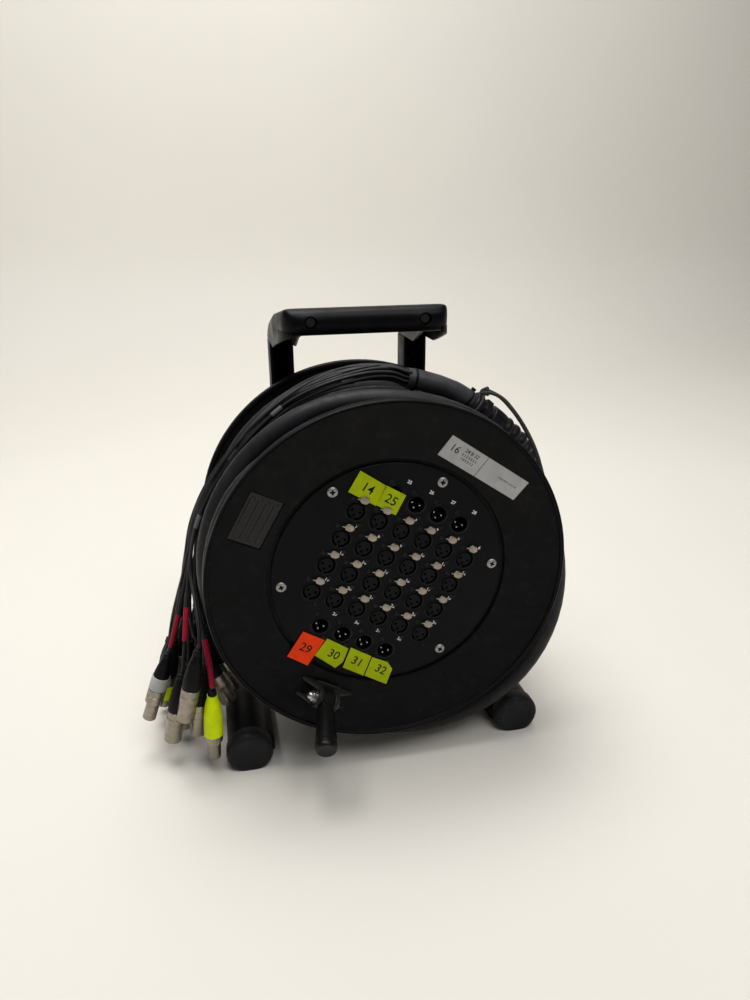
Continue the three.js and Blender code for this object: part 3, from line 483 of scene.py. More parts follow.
def written(name, text, size, place, roll=0.0, thick=0.06, bold=0.0):
    """Figures that face the front, centred on a place in millimetres, as a mesh."""
    clear()
    bpy.ops.object.text_add()
    piece = bpy.context.object
    piece.name = piece.data.name = name
    piece.data.body = text
    piece.data.size = size
    piece.data.extrude = thick * MM
    piece.data.offset = bold * MM
    piece.data.align_x = "CENTER"
    piece.data.align_y = "CENTER"
    piece.data.resolution_u = 4
    piece = hardened(piece)
    turn = Matrix.Rotation(roll, 4, "Y") @ Matrix.Rotation(pi / 2, 4, "X")
    return moved(piece, at(*place) @ turn)


def sheeted(name, corners, cuts):
    """A flat sheet between corners, cut finely enough to follow what it is laid on."""
    sheet = drawn(name, corners, closed=True)
    bpy.ops.mesh.edge_face_add()
    bpy.ops.mesh.subdivide(number_cuts=cuts)
    clear()
    return sheet


def laid(piece, target, above, thick):
    """Lays a flat piece on another, from in front."""
    dress(piece, "SHRINKWRAP", target=target, wrap_method="PROJECT", use_project_y=True,
          use_positive_direction=True, use_negative_direction=True, offset=above * MM)
    return dress(piece, "SOLIDIFY", thickness=thick * MM, offset=0)


def kept(piece, body, look, nodes=(), place=None, angle=38):
    """Finishes a piece: its place, shading, material, body, slot and what it stands for."""
    if place is not None:
        moved(piece, place)
    choose(piece)
    if piece.type == "MESH":
        bpy.ops.object.shade_smooth_by_angle(angle=radians(angle))
    piece.data.materials.clear()
    piece.data.materials.append(finish(look))
    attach(piece, body)
    if nodes:
        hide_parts(*nodes)
    return piece


# ---------------------------------------------------------------- finishes

class Recipe:
    """A material's node tree under construction, on object coordinates."""

    def __init__(self, name, rough, metal=0.0):
        self.material = bpy.data.materials.new(name)
        self.material.use_nodes = True
        self.nodes, self.links = self.material.node_tree.nodes, self.material.node_tree.links
        self.shader = self.nodes["Principled BSDF"]
        self.shader.inputs["Roughness"].default_value = rough
        self.shader.inputs["Metallic"].default_value = metal
        self.place = self.nodes.new("ShaderNodeTexCoord").outputs["Object"]

    def noise(self, scale, detail=4, stretch=None, turn=(0, 0, 0)):
        place = self.place
        if stretch:
            mapping = self.nodes.new("ShaderNodeMapping")
            mapping.inputs["Scale"].default_value = stretch
            mapping.inputs["Rotation"].default_value = turn
            self.links.new(place, mapping.inputs["Vector"])
            place = mapping.outputs["Vector"]
        node = self.nodes.new("ShaderNodeTexNoise")
        node.inputs["Scale"].default_value = scale
        node.inputs["Detail"].default_value = detail
        self.links.new(place, node.inputs["Vector"])
        return node.outputs["Fac"]

    def range(self, value, low, high, to_low, to_high):
        node = self.nodes.new("ShaderNodeMapRange")
        for key, number in zip(("From Min", "From Max", "To Min", "To Max"), (low, high, to_low, to_high)):
            node.inputs[key].default_value = number
        self.links.new(value, node.inputs["Value"])
        return node.outputs["Result"]

    def ramp(self, value, *stops):
        node = self.nodes.new("ShaderNodeValToRGB")
        while len(node.color_ramp.elements) < len(stops):
            node.color_ramp.elements.new(0.5)
        for element, (place, colour) in zip(node.color_ramp.elements, stops):
            element.position = place
            element.color = (*colour, 1)
        self.links.new(value, node.inputs["Fac"])
        return node.outputs["Color"]

    def mix(self, share, first, second):
        node = self.nodes.new("ShaderNodeMix")
        node.data_type = "RGBA"
        self.links.new(share, node.inputs["Factor"])
        for socket, colour in ((node.inputs[6], first), (node.inputs[7], second)):
            if isinstance(colour, bpy.types.NodeSocket):
                self.links.new(colour, socket)
            else:
                socket.default_value = (*colour, 1)
        return node.outputs[2]

    def bump(self, value, strength, distance):
        node = self.nodes.new("ShaderNodeBump")
        node.inputs["Strength"].default_value = strength
        node.inputs["Distance"].default_value = distance
        self.links.new(value, node.inputs["Height"])
        before = self.shader.inputs["Normal"].links
        if before:
            self.links.new(before[0].from_socket, node.inputs["Normal"])
        self.links.new(node.outputs["Normal"], self.shader.inputs["Normal"])

    def use(self, socket, value):
        self.links.new(value, self.shader.inputs[socket])


def shade(colour, share):
    return tuple(min(c * share, 1) for c in colour)


def moulded(name, colour, rough=0.5, gloss=0.3, grain=1500, wear=0.5, scratch=0.4, dust=0.25):
    """Grained moulded plastic, with rubbed edges, fine scratches and a little dust."""
    recipe = Recipe(name, rough)
    broad = recipe.noise(14, 5)
    base = recipe.ramp(broad, (0.3, shade(colour, 0.82)), (0.7, shade(colour, 1.22)))
    marks = recipe.noise(26, 8, (16, 16, 1), (0.06, 0.1, 0.04))
    share = recipe.range(marks, 0.62, 0.74, 0, scratch * 0.5)
    base = recipe.mix(share, base, shade(colour, 5.0))
    powder = recipe.noise(90, 6)
    base = recipe.mix(recipe.range(powder, 0.54, 0.8, 0, dust * 0.12), base, (0.16, 0.155, 0.15))
    edges = recipe.nodes.new("ShaderNodeNewGeometry").outputs["Pointiness"]
    base = recipe.mix(recipe.range(edges, 0.53, 0.62, 0, wear * 0.6), base, shade(colour, 6.0))
    recipe.use("Base Color", base)
    recipe.use("Roughness", recipe.range(recipe.noise(55, 5), 0.3, 0.7, rough - 0.09, rough + 0.09))
    recipe.bump(recipe.noise(grain, 2), 0.22, 0.0002)
    recipe.bump(recipe.noise(120, 3), 0.10, 0.0006)
    recipe.shader.inputs["Specular IOR Level"].default_value = gloss
    return recipe.material


def coated(name, colour, rough=0.46, grain=3200):
    """A sprayed coat on metal."""
    recipe = Recipe(name, rough)
    base = recipe.ramp(recipe.noise(20, 6), (0.3, shade(colour, 0.8)), (0.7, shade(colour, 1.3)))
    specks = recipe.range(recipe.noise(700, 2), 0.66, 0.74, 0, 0.10)
    recipe.use("Base Color", recipe.mix(specks, base, (0.10, 0.10, 0.10)))
    recipe.use("Roughness", recipe.range(recipe.noise(80, 4), 0.3, 0.7, rough - 0.08, rough + 0.1))
    recipe.bump(recipe.noise(grain, 1), 0.16, 0.0001)
    recipe.shader.inputs["Specular IOR Level"].default_value = 0.10
    return recipe.material


def plated(name, colour, rough=0.32, brush=(1, 1, 1), smudge=0.5):
    """Plated or bare metal, with fine brushing and dull smudges."""
    recipe = Recipe(name, rough, 1.0)
    base = recipe.ramp(recipe.noise(160, 5), (0.3, shade(colour, 0.78)), (0.68, colour))
    spots = recipe.range(recipe.noise(420, 3), 0.62, 0.75, 0, smudge * 0.6)
    recipe.use("Base Color", recipe.mix(spots, base, shade(colour, 0.4)))
    recipe.use("Roughness", recipe.range(recipe.noise(300, 4, brush), 0.3, 0.7, rough - 0.1, rough + 0.14))
    recipe.bump(recipe.noise(1800, 2, brush), 0.06, 0.0001)
    return recipe.material


def jacketed(name, colour, rough=0.44, ribs=0.0, gloss=0.4):
    """An extruded cable jacket: a soft sheen, handling marks and pale dust in its pits."""
    recipe = Recipe(name, rough)
    base = recipe.ramp(recipe.noise(35, 6), (0.28, shade(colour, 0.75)), (0.72, shade(colour, 1.45)))
    base = recipe.mix(recipe.range(recipe.noise(260, 5), 0.60, 0.76, 0, 0.08), base, (0.12, 0.118, 0.115))
    recipe.use("Base Color", base)
    recipe.use("Roughness", recipe.range(recipe.noise(110, 4), 0.3, 0.7, rough - 0.08, rough + 0.12))
    recipe.bump(recipe.noise(900, 2), 0.12, 0.0002)
    if ribs:
        recipe.bump(recipe.noise(60, 2), ribs, 0.0012)
    recipe.shader.inputs["Specular IOR Level"].default_value = gloss
    return recipe.material


def braided(name, colour):
    """A plaited cord: crossing strands from two waves."""
    recipe = Recipe(name, 0.75)
    bands = []
    for turn in (0.8, -0.8):
        mapping = recipe.nodes.new("ShaderNodeMapping")
        mapping.inputs["Rotation"].default_value = (turn, turn * 0.5, turn)
        recipe.links.new(recipe.place, mapping.inputs["Vector"])
        wave = recipe.nodes.new("ShaderNodeTexWave")
        wave.inputs["Scale"].default_value = 330
        wave.inputs["Distortion"].default_value = 1.5
        recipe.links.new(mapping.outputs["Vector"], wave.inputs["Vector"])
        bands.append(wave.outputs["Fac"])
    node = recipe.nodes.new("ShaderNodeMath")
    node.operation = "MAXIMUM"
    recipe.links.new(bands[0], node.inputs[0])
    recipe.links.new(bands[1], node.inputs[1])
    recipe.use("Base Color", recipe.ramp(node.outputs[0], (0.3, shade(colour, 0.45)),
                                         (0.9, shade(colour, 1.7))))
    recipe.bump(node.outputs[0], 0.7, 0.0005)
    return recipe.material


def papered(name, colour, rough=0.55, crease=0.25, grime=0.35):
    """Tape or label stock: slight creases and grime."""
    recipe = Recipe(name, rough)
    recipe.shader.inputs["Specular IOR Level"].default_value = 0.12
    base = recipe.ramp(recipe.noise(90, 4), (0.35, shade(colour, 0.86)), (0.65, colour))
    dirt = recipe.range(recipe.noise(300, 6), 0.58, 0.76, 0, grime)
    recipe.use("Base Color", recipe.mix(dirt, base, shade(colour, 0.5)))
    recipe.bump(recipe.noise(150, 3), crease, 0.0004)
    return recipe.material


def paper_floor(name, colour):
    """The plain pale sheet under and behind the object."""
    recipe = Recipe(name, 0.9)
    recipe.shader.inputs["Specular IOR Level"].default_value = 0.1
    recipe.use("Base Color", recipe.ramp(recipe.noise(1.2, 3), (0.3, shade(colour, 0.97)), (0.7, colour)))
    recipe.bump(recipe.noise(500, 2), 0.05, 0.0002)
    return recipe.material


# The row's material slot that each finish goes into
FINISHES = {}


def finish(name):
    """The named finish, made once from the user's colours."""
    colours = bpy.context.scene.snake_colours
    recipes = {
        "flange": lambda: moulded("flange_plastic", colours.plastic, 0.46, 0.10, wear=0.8, scratch=0.9,
                                  dust=0.3),
        "frame": lambda: moulded("frame_plastic", shade(colours.plastic, 0.8), 0.40, 0.32, wear=0.5,
                                 scratch=0.4),
        "handle": lambda: moulded("handle_plastic", colours.handle, 0.40, 0.13, wear=0.25, scratch=0.4),
        "bar": lambda: moulded("bar_plastic", shade(colours.plastic, 0.8), 0.46, 0.10, wear=0.4, scratch=0.3),
        "crank": lambda: moulded("crank_plastic", colours.crank, 0.40, 0.20, wear=0.6, scratch=0.5),
        "grip": lambda: moulded("grip_plastic", shade(colours.plastic, 1.2), 0.36, 0.20, wear=0.4, scratch=0.5),
        "foot": lambda: moulded("foot_rubber_moulded", shade(colours.plastic, 2.6), 0.58, 0.2, wear=0.4,
                                dust=0.5),
        "panel": lambda: coated("panel_coat", colours.panel),
        "socket": lambda: moulded("socket_plastic", colours.socket, 0.34, 0.14, wear=0.9, scratch=0.2,
                                  dust=0.2),
        "insert": lambda: moulded("insert_plastic", shade(colours.socket, 1.6), 0.5, 0.10, wear=0.5,
                                  scratch=0.1),
        # Painted shade: socket plastic at 0.3 of its tone and matte, standing in for the shade inside the male
        # cups
        "hole": lambda: moulded("hole_painted_shade", shade(colours.socket, 0.3), 0.8, gloss=0.05, wear=0,
                                scratch=0, dust=0),
        "badge": lambda: moulded("badge_plastic", shade(colours.plastic, 0.6), 0.3, wear=0.4, scratch=0.2),
        "latch": lambda: plated("latch_satin", colours.latch, 0.38, smudge=0.8),
        "steel": lambda: plated("bright_steel", colours.steel, 0.30),
        "screw": lambda: plated("screw_zinc", shade(colours.steel, 0.80), 0.5, smudge=0.6),
        "black_steel": lambda: plated("black_steel", (0.026, 0.026, 0.028), 0.44),
        "nickel": lambda: plated("plug_nickel", colours.nickel, 0.33, (1, 1, 6), smudge=0.2),
        "brass": lambda: plated("bush_brass_metal", colours.brass, 0.4),
        "jacket": lambda: jacketed("cable_jacket_black", colours.jacket, 0.50, gloss=0.22),
        "tail": lambda: jacketed("tail_jacket_black", shade(colours.jacket, 0.95), 0.48, gloss=0.3),
        # The boot's base colour, 2.9 times the jacket's, is painted light standing for the sheen on its lit top
        "boot": lambda: jacketed("boot_shrink_painted_sheen", shade(colours.jacket, 2.9), 0.42, ribs=0.12, gloss=0.5),
        "gland": lambda: moulded("gland_nylon", shade(colours.rubber, 2.0), 0.40, 0.3, wear=0.5, dust=0.35),
        "rubber": lambda: jacketed("plug_boot_rubber", colours.rubber, 0.46, gloss=0.12),
        "cord": lambda: braided("tie_cord_braid", colours.cord),
        # One tape yellow in two copies: the flange's tapes darkened to 0.72 as painted shade, the plugs' tapes
        # brightened to 1.25 as painted light
        "yellow": lambda: papered("tape_yellow", shade(colours.yellow, 0.72), 0.5),
        "painted_light_yellow": lambda: papered("plug_tape_yellow", shade(colours.yellow, 1.25), 0.5),
        "orange": lambda: papered("tape_orange", colours.orange, 0.5),
        "white": lambda: papered("label_white", shade(colours.white, 0.78), 0.45, 0.1, 0.2),
        "print": lambda: papered("figures_white", shade(colours.white, 1.3), 0.5, 0.05, 0.1),
        "grey": lambda: papered("sleeve_grey", colours.grey, 0.5, 0.1),
        "red": lambda: papered("sleeve_red", colours.red, 0.4, 0.2, 0.3),
        "ink": lambda: papered("marker_ink", colours.ink, 0.4, 0.05, 0.1),
        "floor": lambda: paper_floor("floor_sheet", colours.floor),
    }
    if name not in FINISHES:
        FINISHES[name] = recipes[name]()
    return FINISHES[name]


# ---------------------------------------------------------------- operators

class SNAKE_OT_stage(Operator):
    """Camera, pale floor and backdrop, and soft studio lamps"""

    bl_idname = "snake.stage"
    bl_label = "Stage"

    def execute(self, context):
        clear()
        bpy.ops.object.camera_add()
        camera = context.object
        camera.matrix_world = CAMERA
        camera.data.sensor_fit = "HORIZONTAL"
        camera.data.sensor_width = 36
        camera.data.lens = 36
        camera.data.clip_start = 0.02
        context.scene.camera = camera
        context.scene.view_settings.view_transform = "Standard"

        sweep = drawn("floor_sweep", [(-4000, -2600, 0), (-4000, 1500, 0), (-4000, 1850, 90),
                                      (-4000, 2080, 320), (-4000, 2170, 700), (-4000, 2200, 4200)])
        bpy.ops.mesh.extrude_region_move(TRANSFORM_OT_translate={"value": (8, 0, 0)})
        mended(sweep)
        dress(sweep, "SUBSURF", levels=3, render_levels=3)
        choose(sweep)
        bpy.ops.object.shade_smooth()
        sweep.data.materials.append(finish("floor"))

        for name, place, target, size, power in (
            ("key_lamp", (-0.5, 0.1, 2.7), (-0.1, 0.0, 0.2), 1.5, 52),
            ("front_lamp", (0.5, -1.5, 2.8), (0.0, -0.2, 0.2), 1.5, 30),
            ("backdrop_lamp", (0.1, 0.9, 2.9), (0, 2.2, 0.9), 1.6, 34),
        ):
            bpy.ops.object.light_add(type="AREA", location=place)
            lamp = context.object
            lamp.name = name
            lamp.data.shape = "SQUARE"
            lamp.data.size = size
            lamp.data.energy = power
            heading = Vector(target) - Vector(place)
            lamp.rotation_mode = "QUATERNION"
            lamp.rotation_quaternion = heading.to_track_quat("-Z", "Y")
        surroundings = bpy.data.worlds.new("studio")
        surroundings.use_nodes = True
        surroundings.node_tree.nodes["Background"].inputs["Color"].default_value = (0.92, 0.96, 1.0, 1)
        surroundings.node_tree.nodes["Background"].inputs["Strength"].default_value = 0.12
        context.scene.world = surroundings
        return {"FINISHED"}


class SNAKE_OT_gland(Operator):
    """Bend protector, gland and boot at the cable's end"""

    bl_idname = "snake.gland"
    bl_label = "Gland and boot"

    def execute(self, context):
        line, heading = winding_line(context.scene.snake_sizes.loop)
        start, end = line[-1] + heading * 0.3, on_chain(-GLAND_HALF - 0.3)
        way = arc_between(start, heading, end, CHAIN_HEADING, 96)
        shares = []
        for i in range(len(way)):
            crest = (0.5 - 0.5 * cos(tau * 6 * i / 96)) ** 0.6
            shares.append(blend(11.3, 13.5, crest))
        protector = hardened(tube("protector", world(way), 2 * MM, shares, 32))
        kept(protector, "frame", "gland", ["bend_protector"])

        nut = turned("cap_nut", [(0, -24.4), (11.2, -24.4), (12.6, -23.6), (13.7, -19.4), (14, -18), (14, -7.2),
                                 (13.4, -6), (0, -6)], 10)
        ring = turned("cap_ring", [(11, -23.9), (12.9, -23.9), (13.1, -22.6), (12.9, -21.3), (11, -21.3)], 48)
        nut = joined("cap_nut_dressed", rounded(nut, 0.7, 3, 20), ring)
        kept(nut, "frame", "gland", ["gland_cap_nut"], aim(on_chain(0), CHAIN_HEADING))

        thread = [(10.2 + 0.7 * (i % 2), -5.7 + i * 0.75) for i in range(34)]
        body = turned("gland_thread", [(0, -5.7), *thread, (10.2, 20), (0, 20)], 48)
        hexagon = rounded(turned("gland_hex", [(10, -2), (13.6, -2), (14.4, -1.2), (14.4, 6.4), (13.6, 7.2),
                                               (10, 7.2)], 6), 0.5, 2, 20)
        collar = turned("gland_collar", [(10, 10.6), (12.3, 10.6), (13, 11.4), (13, 13.4), (12.5, 14),
                                         (12.5, 16.6), (13, 17.2), (13, 19), (12.3, 19.9), (10, 19.9)], 64)
        flats = rounded(turned("gland_flats", [(10, 14.2), (13.25, 14.2), (13.25, 16.4), (10, 16.4)], 8), 0.3)
        spigot = turned("gland_spigot", [(0, 19.5), (9.7, 19.5), (9.7, 24.4), (0, 24.4)], 48)
        body = joined("gland_body_dressed", body, hexagon, collar, flats, spigot)
        kept(body, "frame", "gland", ["gland_body"], aim(on_chain(0), CHAIN_HEADING))

        way = arc_between(on_chain(GLAND_HALF - 3.4), CHAIN_HEADING, MOUTH, MOUTH_HEADING, 60)
        way += [MOUTH + MOUTH_HEADING * d for d in (1.2, 2.4, 3.6)]
        shares = []
        for i in range(len(way)):
            share = min(i / 60, 1)
            dent = 0.16 * sin(9 * share) + 0.1 * sin(23 * share + 1)
            shares.append((blend(10.35, 10.9, share) + dent * sin(pi * share)) * (0.97 if i == 0 else 1))
        boot = hardened(tube("boot", world(way), 2 * MM, shares, 40))
        self.open_mouth(boot, MOUTH + MOUTH_HEADING * 3.6, MOUTH_HEADING)
        kept(boot, "frame", "boot", ["breakout_boot"], angle=50)

        for name, distance, radius in (("mouth_tie", -5.0, 11.05), ("boot_tie", 26.6, 10.8)):
            band = turned(name, [(radius - 0.5, -1.3), (radius, -1.3), (radius + 0.55, -0.7),
                                 (radius + 0.55, 0.7), (radius, 1.3), (radius - 0.5, 1.3)], 64)
            head = rounded(plate(name + "_head", [(radius - 0.4, -2.1, -2.4), (radius + 2.6, -2.1, -2.4),
                                                  (radius + 2.6, 2.1, -2.4), (radius - 0.4, 2.1, -2.4)],
                                 (0, 0, 4.6)), 0.4)
            band = joined(name, band, head)
            if name == "mouth_tie":
                place = aim(MOUTH + MOUTH_HEADING * distance, MOUTH_HEADING, radians(80))
            else:
                place = aim(on_chain(distance), CHAIN_HEADING, radians(-50))
            kept(band, "frame", "rubber", place=place)
        return {"FINISHED"}

    def open_mouth(self, boot, place, heading):
        """Sinks the boot's end, so that the tails come out of a hollow."""
        choose(boot)
        bpy.ops.object.mode_set(mode="EDIT")
        bpy.ops.mesh.select_all(action="DESELECT")
        bpy.ops.object.mode_set(mode="OBJECT")
        end = HUB + place * MM
        for face in boot.data.polygons:
            if abs((face.center - end).dot(heading)) < 5e-5 and abs(face.normal.dot(heading)) > 0.9:
                face.select = True
        bpy.ops.object.mode_set(mode="EDIT")
        bpy.ops.mesh.select_mode(type="FACE")
        bpy.ops.mesh.inset(thickness=1.2 * MM, depth=0)
        bpy.ops.mesh.extrude_region_move(TRANSFORM_OT_translate={"value": heading * -3.2 * MM})
        bpy.ops.mesh.select_mode(type="VERT")
        clear()


class SNAKE_OT_winding(Operator):
    """The multicore cable's outer turns, wound on the drum, and the layers under them"""

    bl_idname = "snake.winding"
    bl_label = "Cable winding"

    def execute(self, context):
        sizes = context.scene.snake_sizes
        line, heading = winding_line(sizes.loop)
        line += arc_between(line[-1], heading, on_chain(-GLAND_HALF), CHAIN_HEADING, 8)[1:]
        line += [on_chain(d) for d in (-16, -8, 0)]
        places = world(line)
        cable = tube("cable_turns", places, sizes.cable, sides=28)
        kept(cable, "frame", "jacket", ["cable_outer_turns"])

        outline = [(112.3, 7.6), (141, 7.6)]
        for turn in range(8):
            middle = 7.6 + 10.4 + turn * 20.85
            top = 145.3 if middle < 100 else 158.5
            outline += [(top - 10.2 + 10.2 * sin(radians(a)), middle - 10.2 * cos(radians(a)))
                        for a in (35, 55, 75, 90, 105, 125, 145)]
        outline += [(150, 174.4), (112.3, 174.4)]
        core = turned("cable_lower_layers", outline, sizes.steps)
        kept(core, "drum", "jacket", ["cable_inner_layers"], DRUM)
        return {"FINISHED"}


class SNAKE_OT_tails(Operator):
    """The tails, with their marker sleeves and red sleeves"""

    bl_idname = "snake.tails"
    bl_label = "Tails"

    # tail, first and last share of its length, diameter, finish
    sleeves = [
        (1, 0.128, 0.158, 5.6, "grey"), (7, 0.322, 0.352, 5.6, "grey"), (8, 0.438, 0.468, 5.6, "grey"),
        (9, 0.594, 0.624, 5.4, "grey"), (10, 0.402, 0.43, 5.2, "grey"), (4, 0.60, 0.64, 4.8, "grey"),
        (7, 0.655, 0.69, 5.0, "grey"), (9, 0.905, 0.985, 4.7, "red"), (8, 0.850, 0.925, 6.0, "red"),
        (0, 0.885, 0.994, 6.2, "red"), (5, 0.84, 0.90, 5.0, "grey"), (2, 0.70, 0.735, 4.9, "grey"),
    ]

    def execute(self, context):
        sizes = context.scene.snake_sizes
        for i, tail in enumerate(tail_lines()):
            line = tail["line"] + [tail["top"] - tail["up"] * d for d in (10, 20, 30)]
            places = world(line)
            cord = tube(f"tail_{i + 1:02d}", places, sizes.tail, sides=12)
            kept(cord, "frame", "tail", ["tail_cords"] if i == 0 else ())
            pieces = [bpy.data.objects[n] for n in (f"plug_{i + 1:02d}", f"plug_boot_{i + 1:02d}")]
            total = length(tail["line"])
            for k, (which, first, last, wide, colour) in enumerate(self.sleeves):
                if which != i:
                    continue
                part = self.part(tail["line"], first * total, last * total)
                sleeve = hardened(tube(f"sleeve_{k + 1:02d}", world(part), wide * MM,
                                       [0.93, *[1.0] * (len(part) - 2), 0.93], 16))
                kept(sleeve, "frame", colour)
                pieces.append(sleeve)
        return {"FINISHED"}

    def part(self, line, first, last):
        """The stretch of a line between two distances along it."""
        part, gone = [], 0.0
        for a, b in zip(line, line[1:]):
            step = (b - a).length
            if gone + step > first and not part:
                part.append(a.lerp(b, (first - gone) / step))
            if part and gone + step < last:
                part.append(b)
            if gone + step >= last:
                part.append(a.lerp(b, (last - gone) / step))
                break
            gone += step
        return part


class SNAKE_OT_plugs(Operator):
    """A plug on each tail: a plated shell with its nose, and a tapered boot"""

    bl_idname = "snake.plugs"
    bl_label = "Plugs"

    def male_shell(self):
        shell = turned("male_shell", [(8.1, 0), (9.1, 0), (9.4, 0.4), (9.4, 21.2), (9.55, 21.6), (9.9, 22.2),
                                      (9.9, 30), (9.55, 30.4), (9.55, 31.2), (9.9, 31.6), (9.9, 38.5),
                                      (9, 39.5), (0, 39.5), (0, 13), (8.1, 13)], 64)
        key = rounded(slab("key", (-1.2, 1.2), (0.6, 9.6), (8.6, 7.2)), 0.2)
        pins = [turned("pin", [(0, 1.6), (0.7, 1.6), (1.2, 2.4), (1.2, 14), (0, 14)], 16) for _ in range(3)]
        for pin, angle in zip(pins, (90, 210, 330)):
            shifted(pin, 4.6 * cos(radians(angle)), 0, 4.6 * sin(radians(angle)))
        dimple = shifted(turned("dimple", [(0, -1), (1.4, -1), (1.4, 1), (0, 1)], 20), 0, 0, 0)
        moved(dimple, at(0, 5.5, -9.4) @ Matrix.Rotation(pi / 2, 4, "X"))
        carved(shell, dimple)
        return joined("male_shell", shell, key, *pins)

    def female_shell(self):
        shell = turned("female_shell", [(6.3, 0), (7.0, 0), (7.3, 0.4), (7.3, 20.4), (8.7, 21.4), (9.9, 22.2),
                                        (9.9, 30.6), (9.5, 31), (9.5, 31.8), (9.9, 32.2), (9.9, 38.5),
                                        (9, 39.5), (0, 39.5), (0, 1.2), (6.3, 1.2)], 64)
        for angle in (90, 210, 330):
            hole = turned("hole", [(0, -2), (1.5, -2), (1.5, 9), (0, 9)], 16)
            carved(shell, shifted(hole, 4.6 * cos(radians(angle)), 0, 4.6 * sin(radians(angle))))
        slot = plate("slot", [(-2.6, 20, 6.9), (2.6, 20, 6.9), (2.6, 28, 6.9), (-2.6, 28, 6.9)], (0, 0, 4))
        carved(shell, slot)
        lever = rounded(plate("lever", [(-2.1, 20.5, 7.4), (2.1, 20.5, 7.4), (2.1, 27.4, 7.4),
                                        (-2.1, 27.4, 7.4)], (0, 0, 2.9)), 0.5)
        return joined("female_shell", shell, lever)

    def boot(self, male):
        ends = [(0, 37), (9.3, 37), (9.5, 38.5), (9.6, 41.5), (9.3, 52), (8.6, 60), (7.2, 68), (5.2, 75.5),
                (4.3, 79), (4.9, 79.6), (4.9, 81.6), (4.3, 82.2), (4.1, 85.5), (3.4, 86), (0, 86)]
        if male:
            ends[3:6] = [(9.75, 42), (9.75, 51), (9.0, 56)]
        return turned("boot_shape", ends, 48)

    def execute(self, context):
        shells = {"male": self.male_shell(), "female": self.female_shell()}
        boots = {"male": self.boot(True), "female": self.boot(False)}
        rolls = (35, -20, 160, 60, 20, 100, 0, 10, -60, 75, 0, 130, 0, 0, 40, 10, 80, 130, 200, 250, 300, 20)
        for i, tail in enumerate(tail_lines()):
            place = aim(tail["tip"], tail["up"], radians(rolls[i]))
            nodes = [f"tail_plug_{SHOWN_PLUGS.index(i) + 1}"] if i in SHOWN_PLUGS else []
            shell = copied(shells[tail["kind"]], f"plug_{i + 1:02d}", place)
            kept(shell, "frame", "nickel", nodes)
            boot = copied(boots[tail["kind"]], f"plug_boot_{i + 1:02d}", place)
            kept(boot, "frame", "rubber")
        dropped(*shells.values(), *boots.values())
        self.bands()
        return {"FINISHED"}

    def bands(self):
        """The tapes and the printed rings round some plugs"""
        tails = tail_lines()
        tape = [(9.7, 29.5), (10.2, 29.5), (10.25, 42), (9.9, 52), (9.2, 60), (7.9, 68), (6.0, 75.5),
                (5.6, 79.5), (5.0, 79.5), (5.3, 75), (7.0, 68), (8.4, 60), (9.2, 50), (9.5, 42)]
        for which, name, outline, colour in (
            # The plugs' yellow tapes use the brightened copy of the tape yellow, which is painted light
            (0, "plug_tape_1", tape, "painted_light_yellow"),
            (9, "plug_ring_1", [(9.4, 39.8), (10.05, 39.8), (10.1, 44), (9.9, 55.5), (9.0, 55.5),
                                (9.4, 46)], "white"),
            (11, "plug_tape_2", [(9.3, 9), (9.75, 9), (9.75, 21), (10.1, 23), (10.1, 27), (9.6, 27), (9.3, 21)],
             "painted_light_yellow"),
        ):
            band = turned(name, outline, 64)
            kept(band, "frame", colour, place=aim(tails[which]["tip"], tails[which]["up"]))


class SNAKE_OT_tie(Operator):
    """The thin tie cord round the gland, with its ring and knot"""

    bl_idname = "snake.tie"
    bl_label = "Tie cord"

    def execute(self, context):
        sizes = context.scene.snake_sizes
        flat = 13 * cos(pi / 10) + 0.3

        def on_collar(turn, reach):
            out = polar(CHAIN_ANGLE, reach * cos(radians(turn)), 0)
            return on_chain(15.5) + out + Vector((0, reach * sin(radians(turn)), 0))

        points = [on_collar(-21.5, flat), on_collar(-21.5, flat + 6), *[polar(*p) for p in TIE_RUN],
                  on_collar(14.5, flat + 6), on_collar(14.5, flat)]
        places = world(flowing(points, 8))
        cord = tube("tie_line", places, sizes.tie, sides=12)
        kept(cord, "frame", "cord", ["tie_cord"])
        ring = turned("tie_ring", [(4.2 + 0.75 * cos(a * tau / 12), 0.75 * sin(a * tau / 12))
                                   for a in range(12)], 40)
        stand = on_collar(-4, flat + 6.2)
        kept(ring, "frame", "cord",
             place=aim(stand, (polar(CHAIN_ANGLE + 90, 0.55, 0) + Vector((0, 0.8, 0))).normalized()))
        knot = []
        for k in range(49):
            t = tau * k / 48
            knot.append(on_collar(-12, flat + 5.2) + polar(CHAIN_ANGLE, 1.7 * (sin(t) + 1.2 * sin(2 * t)), 0)
                        + polar(CHAIN_ANGLE + 90, 1.7 * (cos(t) - 1.2 * cos(2 * t)), 0)
                        + Vector((0, -1.9 * sin(3 * t), 0)))
        knot = hardened(tube("tie_knot", world(knot), 0.0032, sides=12))
        kept(knot, "frame", "cord")
        loop = [on_chain(15.5) + polar(CHAIN_ANGLE, 14.6 * cos(tau * k / 60), 0)
                + Vector((0, 14.6 * sin(tau * k / 60), 0)) for k in range(61)]
        loop = hardened(tube("tie_loop", world(loop), 0.0030, sides=12))
        kept(loop, "frame", "cord")
        return {"FINISHED"}


